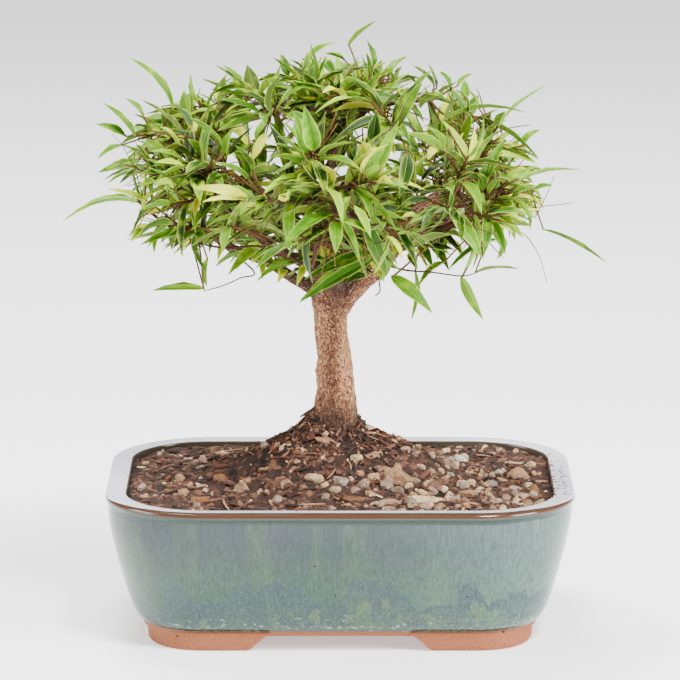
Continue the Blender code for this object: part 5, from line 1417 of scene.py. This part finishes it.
def plan_leaves():
    """The leaves of each shoot: those that the photograph shows, then the rest by rule."""
    leaves = {shoot.name: [] for shoot in shoots}
    for number, seen in enumerate(LEAVES_SEEN):
        leaf = seen_leaf(seen)
        distance, shoot, root = nearest_shoot(leaf.base, 0.02 * (number % 5))
        leaf = leaf._replace(root=root)
        if distance < LONGEST_STALK and has_room(leaf, shoot):
            leaves[shoot.name].append(leaf)
            for solid in plain_solids(leaf):
                taken.add(shoot.name, *solid)
    draw = np.random.default_rng(SEED)
    for shoot in shoots:
        for k in range(LEAVES_PER_SPRAY):
            for attempt in range(TRIES):
                leaf = grown_leaf(shoot, k, attempt, draw)
                if has_room(leaf, shoot) and not crosses(leaf, leaves[shoot.name]):
                    leaves[shoot.name].append(leaf)
                    for solid in plain_solids(leaf):
                        taken.add(shoot.name, *solid)
                    break
    return leaves


TWIGS_PER_SHOOT, LEAVES_PER_TWIG = 6, 5
INNER_SPACING = 2.8
BARE_TWIGS, BARE_LENGTHS, BARE_RADII = 12, (9.0, 26.0), (0.42, 0.2)
TWIG_LENGTHS, TWIG_RADII = (10.0, 21.0), (0.55, 0.32)
FINE_LENGTHS, FINE_WIDTH_SHARE, FINE_WIDTHS = (14.0, 27.0), 0.265, (4.4, 7.6)
FULLER = 1.12
CROWN_MARGIN = np.array((22.0, 19.0, 17.0))
FINE_STATIONS = np.array([0.0, 0.05, 0.13, 0.26, 0.42, 0.6, 0.78, 0.93])
EDGE_WAVE, HALF_BULGE, KEEL = 0.10, 0.13, 0.42
SIDE_VEINS = 19
LEAF_GREENS = ("#102504", "#1D4906", "#468007", "#88B00E", "#C4CC1E", "#E0DE48")
# A leaf's place along those greens: the first at this share of the way out of the crown, rising
# outwards by the leaves' age and by painted light and shade, different from leaf to leaf,
# and lower for the solid model's own leaves
DARK_AND_SHADED_WITHIN, GREEN_AND_LIGHT_RISE, GREEN_SPREAD, BRIGHTEST = 0.39, 6.0, 1.6, 4.4
OWN_LOWER, OWN_RANGE = 1.5, (0.5, 2.2)
YELLOWING, OLD_YELLOW = 0.02, "#A89A1C"
# How far the crown of the photograph reaches, in its pixels, anticlockwise from the left
CROWN_OUTLINE = (
    (104, 196), (128, 240), (170, 262), (205, 282), (258, 280), (296, 288), (340, 284),
    (372, 282), (400, 280), (440, 284), (480, 270), (512, 262), (530, 232), (545, 205),
    (548, 178), (533, 148), (510, 115), (484, 95), (456, 80), (425, 70), (385, 60), (345, 54),
    (310, 52), (275, 62), (236, 68), (205, 84), (176, 98), (146, 112), (122, 136), (108, 168),
)
HIDING_DISTANCE = 6.0


def pixels_of(points):
    """Where points show in the photograph, and how far in front of the eye they are."""
    forward = unit(AIM - EYE)
    up = np.cross((1.0, 0.0, 0.0), forward)
    apart = np.asarray(points) - EYE
    deep = apart @ forward
    u = PICTURE_PIXELS / 2 + FOCAL_PIXELS * apart[..., 0] / deep
    v = PICTURE_PIXELS / 2 - FOCAL_PIXELS * (apart @ up) / deep
    return np.stack([u, v], -1), deep


def inside_outline(pixels, outline):
    """True for the pixels that lie inside a closed outline, by counting its crossings."""
    ring = np.array(outline, float)
    nxt = np.roll(ring, -1, 0)
    u, v = pixels[..., 0, None], pixels[..., 1, None]
    spans = (ring[:, 1] > v) != (nxt[:, 1] > v)
    slope_of = (nxt[:, 0] - ring[:, 0]) / (nxt[:, 1] - ring[:, 1] + 1e-9)
    crossings = spans & (u < ring[:, 0] + (v - ring[:, 1]) * slope_of)
    return crossings.sum(-1) % 2 == 1


def leaf_spine(leaf, count=8):
    """Points down the middle of a leaf."""
    return np.array([along_leaf(leaf, t)[0] for t in np.linspace(0.15, 0.95, count)])


def side_twig(route, share, turn, length, draw):
    """A twig that leaves a shoot or limb at a share of its length, turned round it by an angle,
    leaning outwards from the crown, and turning up a little towards its end."""
    base, axis = point_on_shoot(route, share)
    side = unit(np.array(Vector(axis).orthogonal()))
    away = side * math.cos(turn) + np.cross(axis, side) * math.sin(turn)
    way = unit(0.55 * axis + 0.75 * away + 0.45 * crown_outward(base))
    middle = base + 0.5 * length * way
    end = base + length * unit(way + 0.3 * UP * draw.uniform(-0.6, 1.0))
    return curve_between(base, middle, end, np.linspace(0, 1, 4), TWIG_RADII)


def twig_leaves(route, draw):
    """Leaves of one twig: alternately left and right of it, with one straight on at the end, the
    outer ones shorter; each has its own tilt, width, arch and droop."""
    leaves = []
    for k in range(LEAVES_PER_TWIG):
        share = 1.0 - 0.78 * k / LEAVES_PER_TWIG
        base, axis = point_on_shoot(route, share)
        side = unit(np.cross(axis, UP) + 0.5 * draw.normal(size=3))
        side = side if k % 2 else -side
        opened = math.radians(draw.uniform(4, 20) if k == 0 else draw.uniform(34, 68))
        way = unit(axis * math.cos(opened) + side * math.sin(opened)
                   + 0.35 * crown_outward(base) + UP * draw.uniform(-0.42, 0.18))
        length = draw.uniform(*FINE_LENGTHS) * (0.8 + 0.2 * (k > 0))
        width = np.clip(length * FINE_WIDTH_SHARE * draw.uniform(0.8, 1.2), *FINE_WIDTHS)
        leaves.append(
            leaf_between(base, base + way * length, width, draw.uniform(0.02, 0.16),
                         draw.uniform(-40, 40))
        )
    return leaves


def in_crown(points):
    """True for points within the crown's outline as the photograph shows it, and within its
    ellipsoid and a leaf's margin in depth too."""
    far = np.linalg.norm((points - CROWN_CENTRE) / (crown_spread(points) + CROWN_MARGIN), axis=-1)
    return inside_outline(pixels_of(points)[0], CROWN_OUTLINE) & (far < 1)


def within_crown(leaf):
    """The leaf, shortened by steps of a tenth until its tip lies within the crown's outline, but
    to no less than half its length."""
    for share in np.arange(1.0, 0.45, -0.1):
        shorter = leaf._replace(bend=leaf.base + share * (leaf.bend - leaf.base),
                                tip=leaf.base + share * (leaf.tip - leaf.base))
        if in_crown(shorter.tip[None])[0]:
            break
    return shorter


def clear_of(leaves, seen_spines):
    """The leaves that lie within the crown, are not inside the bare fork, and hide none of the
    leaves that stand out in the photograph."""
    spines = np.array([leaf_spine(leaf) for leaf in leaves])
    pixels, deep = pixels_of(spines)
    inside = in_crown(spines[:, -1])
    fork = np.linalg.norm((spines[:, :, :2] - (-4, 8)) / (30, 24), axis=2) < 1
    bare = (fork & (spines[:, :, 2] < 152)).any(1) | (spines[:, :, 2] < 141).any(1)
    seen_pixels, seen_deep = pixels_of(seen_spines)
    gap = np.linalg.norm(pixels[:, :, None] - seen_pixels[None, None], axis=3)
    hides = ((gap < HIDING_DISTANCE) & (deep[:, :, None] < seen_deep)).any((1, 2))
    return [leaf for leaf, keep in zip(leaves, inside & ~bare & ~hides) if keep]


def leafy_twigs(places, seen_spines, draw):
    """Side twigs at places (route, share, turn), each with its leaves that stay clear; a twig
    that reaches out of the crown, or keeps fewer than two leaves, isn't grown."""
    twigs, leaves = [], []
    for route, share, turn in places:
        twig = side_twig(route, share, turn, draw.uniform(*TWIG_LENGTHS), draw)
        kept = clear_of(twig_leaves(twig, draw), seen_spines)
        if len(kept) > 1 and in_crown(twig[-1:, :3])[0]:
            twigs.append(twig)
            leaves += kept
    return twigs, leaves


def bare_twigs(route, draw):
    """Fine dead and leafless twigs of one shoot, each bent once, that stay within the crown."""
    twigs = []
    for _ in range(BARE_TWIGS):
        base, axis = point_on_shoot(route, draw.uniform(0.05, 0.95))
        way = unit(0.5 * axis + 0.8 * unit(draw.normal(size=3)))
        length = draw.uniform(*BARE_LENGTHS)
        middle = base + 0.5 * length * way
        end = middle + 0.5 * length * unit(way + 0.5 * draw.normal(size=3))
        if in_crown(end[None])[0] and end[2] > 150:
            twigs.append(curve_between(base, middle, end, np.linspace(0, 1, 4), BARE_RADII))
    return twigs


def leaf_blades(leaves, draw):
    """Closed blades as one mesh: across each station left edge, left half, midrib, right half,
    right edge and keel. The halves bulge up from the fold, the edge waves, and the blade twists
    a little towards its tip. Gives points, faces, the place on the blade of each point (share
    along, share across), and 1 for each face of the underside."""
    base, bend, tip, side = (np.array([getattr(leaf, k) for leaf in leaves])[:, None]
                             for k in ("base", "bend", "tip", "side"))
    width = np.array([leaf.width for leaf in leaves])[:, None, None]
    t = FINE_STATIONS[None, :, None]
    p = base * (1 - t) ** 2 + bend * (2 * t * (1 - t)) + tip * t**2
    way = unit((bend - base) * (1 - t) + (tip - bend) * t)
    face = unit(np.cross(side, way))
    twist = np.radians(draw.uniform(-22, 22, width.shape)) * t
    face, side = (face * np.cos(twist) + side * np.sin(twist),
                  side * np.cos(twist) - face * np.sin(twist))
    half = np.maximum(width / 2 * blade_width(t), 0.38 * (1 - t) ** 2)
    phase = draw.uniform(0, 2 * np.pi, width.shape)
    wave = EDGE_WAVE * half * np.sin(2 * np.pi * 2.3 * t + phase)
    fold = FOLD * draw.uniform(0.5, 1.5, width.shape)
    across = np.array([-1.0, -0.5, 0.0, 0.5, 1.0, 0.0])[:, None]
    lift = np.abs(across) * half[..., None] * np.sin(fold)[..., None]
    lift = lift + HALF_BULGE * half[..., None] * (np.abs(across) == 0.5)
    lift = lift + wave[..., None] * (across**3)
    keel = np.minimum(KEEL, 0.3 * half[..., None] + 0.12)
    lift = np.where(np.arange(6)[:, None] == 5, -keel, lift)
    spread = across * half[..., None] * np.cos(fold)[..., None]
    rings = p[:, :, None] + side[:, :, None] * spread + face[:, :, None] * lift
    count, stations = len(leaves), len(FINE_STATIONS)
    points = np.concatenate([rings.reshape(count, -1, 3), tip], 1)
    last = 6 * (stations - 1)
    quads = grid_faces(stations, 6, True).tolist()
    shape = [*quads, tuple(range(6))[::-1],
             *[(last + i, last + (i + 1) % 6, last + 6) for i in range(6)]]
    under = [float(k % 6 >= 4) for k in range(len(quads))] + [1.0] + [0, 0, 0, 0, 1.0, 1.0]
    starts = (np.arange(count) * points.shape[1]).tolist()
    faces = [tuple(i + s for i in f) for s in starts for f in shape]
    place = np.stack(np.broadcast_arrays(FINE_STATIONS[:, None], across[:, 0], 0.0), -1)
    place = np.vstack([place.reshape(-1, 3), [(1.0, 0.0, 0.0)]])
    return points.reshape(-1, 3), faces, np.tile(place, (count, 1)), np.tile(under, count)


def willow_leaf():
    """Willow-leaf fig foliage: leathery and waxy, bright mid green with a yellow-green midrib and
    margin and faint side veins, paler and duller underneath; light comes through it."""
    material, tree, place = new_material("waxy_fig_leaf")
    tint = add_node(tree, "Attribute", attribute_name="tint")["Color"]
    blade = add_node(tree, "Attribute", attribute_name="blade")["Vector"]
    under = add_node(tree, "Attribute", attribute_name="under")["Fac"]
    run, across, _ = add_node(tree, "SeparateXYZ", (blade,))
    across = add_node(tree, "Math", (across,), operation="ABSOLUTE")[0]
    mottle = add_node(tree, "TexNoise", {"Vector": place, "Scale": 1000 / 7.0, "Detail": 3.0})[0]
    yellow = add_node(tree, "MapRange", (mottle, 0.5, 0.68, 0, 0.45), **SOFT)[0]
    # Side veins leave the midrib forwards, about every 1.3 mm of a 25 mm leaf
    run = add_node(tree, "Math", (across, -0.09, run), operation="MULTIPLY_ADD")[0]
    vein = add_node(tree, "Math", (run, 2 * math.pi * SIDE_VEINS), operation="MULTIPLY")[0]
    vein = add_node(tree, "Math", (vein,), operation="SINE")[0]
    pale = add_node(tree, "MapRange", (vein, 0.55, 1.0, 0, 0.08))[0]
    rib = add_node(tree, "MapRange", (across, 0.08, 0.01, 0, 0.35), **SOFT)[0]
    margin = add_node(tree, "MapRange", (across, 0.86, 1.0, 0, 0.75), **SOFT)[0]
    light = add_node(tree, "Math", (rib, margin), operation="MAXIMUM")[0]
    dull = add_node(tree, "Math", (under, 0.3), operation="MULTIPLY")[0]
    layers = [(0.6, mottle, "OVERLAY"), (yellow, "#A6BE1C"), (pale, "#86A82E"),
              (light, "#D3DA58"), (dull, "#8FA846")]
    matt = add_node(tree, "MapRange", (under, 0, 1, 0.42, 0.65))[0]
    wax = {"Roughness": matt, "IOR": 1.45, "Specular IOR Level": 0.22, "Subsurface Weight": 0.3,
           "Subsurface Radius": (0.6, 1.0, 0.25), "Subsurface Scale": 0.0008}
    return finished(material, tint, layers, wax, vein, 0.0001, 0.25)


def twig_bark():
    """Young twig: smooth dark brown bark in soft patches, lighter and more olive where it is new."""
    material, tree, place = new_material("young_twig_bark")
    patch = add_node(tree, "TexNoise", {"Vector": place, "Scale": 1000 / 3.0, "Detail": 4.0})[0]
    young = add_node(tree, "Attribute", attribute_name="young")["Fac"]
    layers = [(patch, "#57301C"), (young, "#6B4C1E")]
    gloss = {"Roughness": 0.8, "Specular IOR Level": 0.3}
    return finished(material, "#1F0E08", layers, gloss, patch, 0.0003)


def front_leaf(seen):
    """The leaf in space, its stalk so many millimetres forward of the pot's middle."""
    base = seen_at_depth(seen.base, -seen.depth)
    tip = seen_at_depth(seen.tip, -seen.depth - seen.lean)
    return leaf_between(base, tip, seen.width / FULLER, seen.arch, seen.roll)


leaf_skin, twig_skin = willow_leaf(), twig_bark()
planned = plan_leaves()
seen_again, seen_tips = [], set()
for number, seen in enumerate(LEAVES_SEEN + LEAVES_SEEN_TOO + LEAVES_IN_FRONT):
    leaf = seen_leaf(seen) if seen.depth <= 1 else front_leaf(seen)
    seen_tips.add(tuple(np.round(leaf.tip, 3)))
    already = any(np.abs(leaf.tip - other.tip).max() < 0.01
                  for leaves in planned.values() for other in leaves)
    if not already:
        distance, shoot, root = nearest_shoot(leaf.base, 0.02 * (number % 5))
        planned[shoot.name].append(leaf._replace(root=root))
    seen_again.append(leaf_spine(leaf, 16))
seen_spines = np.concatenate(seen_again)
greens = linear(LEAF_GREENS)


def dress(name, routes, twigs, leaves, firm, inner, replaced, draw):
    """The leaves of one spray and the twigs that carry them as two pieces. The first leaves are
    the solid model's own; an inner group is darker by painted shade. Leaves at the crown's
    surface are brighter and those deep inside darker: partly the greens of new and old leaves,
    partly painted light and shade."""
    points, faces, place, under = leaf_blades(leaves, draw)
    middles = np.array([along_leaf(leaf, 0.6)[0] for leaf in leaves])
    out = np.linalg.norm((middles - CROWN_CENTRE) / (crown_spread(middles) + 14.0), axis=1)
    # Painted light and shade: greens brighten outwards through the crown and darken within it
    bright = GREEN_AND_LIGHT_RISE * (out - DARK_AND_SHADED_WITHIN) + draw.normal(0, GREEN_SPREAD, len(leaves)) - inner
    bright[:firm] = np.clip(bright[:firm] - OWN_LOWER, *OWN_RANGE)
    bright = np.clip(bright, 0, BRIGHTEST)
    low = bright.astype(int)
    tints = greens[low] + (greens[low + 1] - greens[low]) * (bright - low)[:, None]
    old = (draw.uniform(0, 1, len(leaves)) < YELLOWING) & (np.arange(len(leaves)) >= firm)
    tints[old] = paint(OLD_YELLOW)[:3]
    per_leaf = len(points) // len(leaves)
    add_piece(
        f"{name}_leaves", points, faces, leaf_skin, "leaf", replaced, sharp=60,
        tint=np.repeat(tints, per_leaf, 0), blade=place, under=under,
    )
    stalks = [np.array([[*leaf.root, 0.5], [*(0.5 * (leaf.root + leaf.base)), 0.42],
                        [*(leaf.base + 0.6 * unit(leaf.bend - leaf.base)), 0.38]])
              for leaf in leaves if leaf.root is not None]
    solids = [*[tube(route, 7) for route in routes], *[tube(r, 5) for r in twigs + stalks]]
    young = [*[np.linspace(0, 0.3, len(r)).repeat(7) for r in routes],
             *[np.linspace(0.1, 0.8, len(r)).repeat(5) for r in twigs + stalks]]
    points, faces = merged(solids)
    add_piece(f"{name}_twigs", points, faces, twig_skin, "bark", young=np.hstack(young))


draw = np.random.default_rng(SEED + 7)
for shoot in shoots:
    places = [(shoot.route, 0.12 + 0.86 * k / (TWIGS_PER_SHOOT - 1),
               GOLDEN_TURN * k + draw.uniform(0, 1.2)) for k in range(TWIGS_PER_SHOOT)]
    twigs, leaves = leafy_twigs(places, seen_spines, draw)
    own = [leaf._replace(width=FULLER * leaf.width) for leaf in planned[shoot.name]]
    own = [leaf if tuple(np.round(leaf.tip, 3)) in seen_tips else within_crown(leaf)
           for leaf in own]
    bare = bare_twigs(shoot.route, draw)
    dress(shoot.name, [spline(shoot.route, 2)], twigs + bare, own + leaves, len(own), 0,
          [shoot.name], draw)

# Older twigs leave the limbs and boughs inside the crown, where their leaves are darker, as
# older leaves and with painted shade
inner_routes = [(name, spline(route, 2)) for name, route in [*LIMBS.items(), *boughs.items()]]
for name, route in inner_routes:
    length = np.linalg.norm(np.diff(route[:, :3], axis=0), axis=1).sum()
    first = 0.2 if name in LIMBS else 0.15
    shares = np.arange(first, 0.97, INNER_SPACING / length)
    places = [(route, share, GOLDEN_TURN * k + draw.uniform(0, 1.5))
              for k, share in enumerate(shares)]
    twigs, leaves = leafy_twigs(places, seen_spines, draw)
    if leaves:
        dress(f"inner_{name}", [], twigs, leaves, 0, 1, [], draw)

# Dry twigs
# Bare ends of old twigs and thin dry tendrils that stick out of the crown, and the stub of a
# root at the foot of the trunk. All are under 2 mm thick, curled as they dried.

# The pixels that each passes in the photograph, its depth in millimetres forward of the pot's
# middle, and its radii
TWIGS_SEEN = (
    (((378, 268), (379, 281), (380, 291), (375, 296)), 8.0, (0.5, 0.3)),
    (((376, 262), (405, 270), (430, 272), (462, 276), (478, 272)), 12.0, (0.55, 0.25)),
    (((512, 224), (528, 238), (540, 258), (547, 283)), 0.0, (0.3, 0.15)),
    (((135, 170), (129, 158), (122, 145), (112, 134)), 4.0, (0.3, 0.15)),
    (((533, 217), (541, 206), (548, 192), (554, 176)), -4.0, (0.3, 0.15)),
    (((500, 131), (515, 127), (530, 125)), 2.0, (0.4, 0.2)),
    (((520, 208), (546, 206), (573, 203)), -2.0, (0.35, 0.15)),
    (((275, 246), (252, 246), (225, 248), (197, 243)), 26.0, (0.7, 0.5)),
    (((312, 263), (300, 262), (285, 255), (268, 256)), 20.0, (0.8, 0.6)),
    (((253, 270), (240, 278), (222, 286), (203, 291)), 12.0, (0.45, 0.25)),
    (((300, 248), (322, 243), (345, 246)), 30.0, (0.8, 0.9)),
    (((316, 408), (308, 412), (300, 417)), 6.0, (0.9, 0.4)),
    (((420, 236), (423, 258), (431, 268), (430, 274)), 8.0, (0.3, 0.2)),
)
# A twig this near to a shoot, in millimetres, grows from it
FARTHEST_SHOOT = 45.0
routes = []
for pixels, forward, radii in TWIGS_SEEN:
    places = seen_at_depth(pixels, np.full(len(pixels), -forward))
    distance, _, root = nearest_shoot(places[0], 0.0)
    if distance < FARTHEST_SHOOT:
        places = np.vstack([root, places])
    thickness = np.linspace(*radii, len(places))[:, None]
    routes.append(spline(np.hstack([places, thickness]), 5))
points, faces = merged([tube(route, 6) for route in routes])
add_piece("dry_twigs", points, faces, twig_skin, "bark", young=np.zeros(len(points)))

# Studio
# The plant stands on matt white paper in a white room, under four large soft lamps. The camera
# is where the photograph was taken, 2 m in front of the pot and 11.5 degrees above level.

FLOOR_SIZE = 12000.0
SENSOR = 36.0


def white_paper():
    """Matt white paper on a light table: an even white floor without a pattern."""
    material, tree, _ = new_material("matt_white_paper")
    feed(tree, tree.nodes["Principled BSDF"], {
        "Base Color": "#F6F6F6", "Roughness": 0.9, "Emission Color": "#FFFFFF",
        "Emission Strength": 0.65,
    })
    return material


def soft_light(name, place, size, power):
    """A square white area light at a place in millimetres, turned to the middle of the plant."""
    lamp = bpy.data.lights.new(name, "AREA")
    lamp.energy, lamp.size = power, size * MM
    light = bpy.data.objects.new(name, lamp)
    bpy.context.scene.collection.objects.link(light)
    light.location = Vector(place) * MM
    aim = (Vector((0.0, 0.0, 120.0)) - Vector(place)).to_track_quat("-Z", "Y")
    light.rotation_euler = aim.to_euler()


half = FLOOR_SIZE / 2
floor = add_piece(
    "floor", [(-half, -half, 0), (half, -half, 0), (half, half, 0), (-half, half, 0)],
    [(0, 1, 2, 3)], white_paper(), "mesh",
)
del floor["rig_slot"]
soft_light("key", (500.0, -900.0, 1700.0), 380.0, 60.0)
soft_light("top", (-250.0, 500.0, 1700.0), 600.0, 52.0)
soft_light("left", (-1500.0, -250.0, 700.0), 900.0, 30.0)
soft_light("right", (1400.0, -750.0, 750.0), 800.0, 56.0)
world = bpy.data.worlds.new("white_surround")
world.use_nodes = True
world.node_tree.nodes["Background"].inputs["Color"].default_value = paint("#FFFFFF")
world.node_tree.nodes["Background"].inputs["Strength"].default_value = 0.25
bpy.context.scene.world = world

camera = bpy.data.objects.new("camera", bpy.data.cameras.new("camera"))
bpy.context.scene.collection.objects.link(camera)
camera.data.sensor_width = SENSOR
camera.data.lens = FOCAL_PIXELS / PICTURE_PIXELS * SENSOR
camera.data.clip_start, camera.data.clip_end = 0.1, 50.0
camera.location = Vector(EYE) * MM
gaze = Vector(AIM) - Vector(EYE)
camera.rotation_euler = gaze.to_track_quat("-Z", "Y").to_euler()
bpy.context.scene.camera = camera
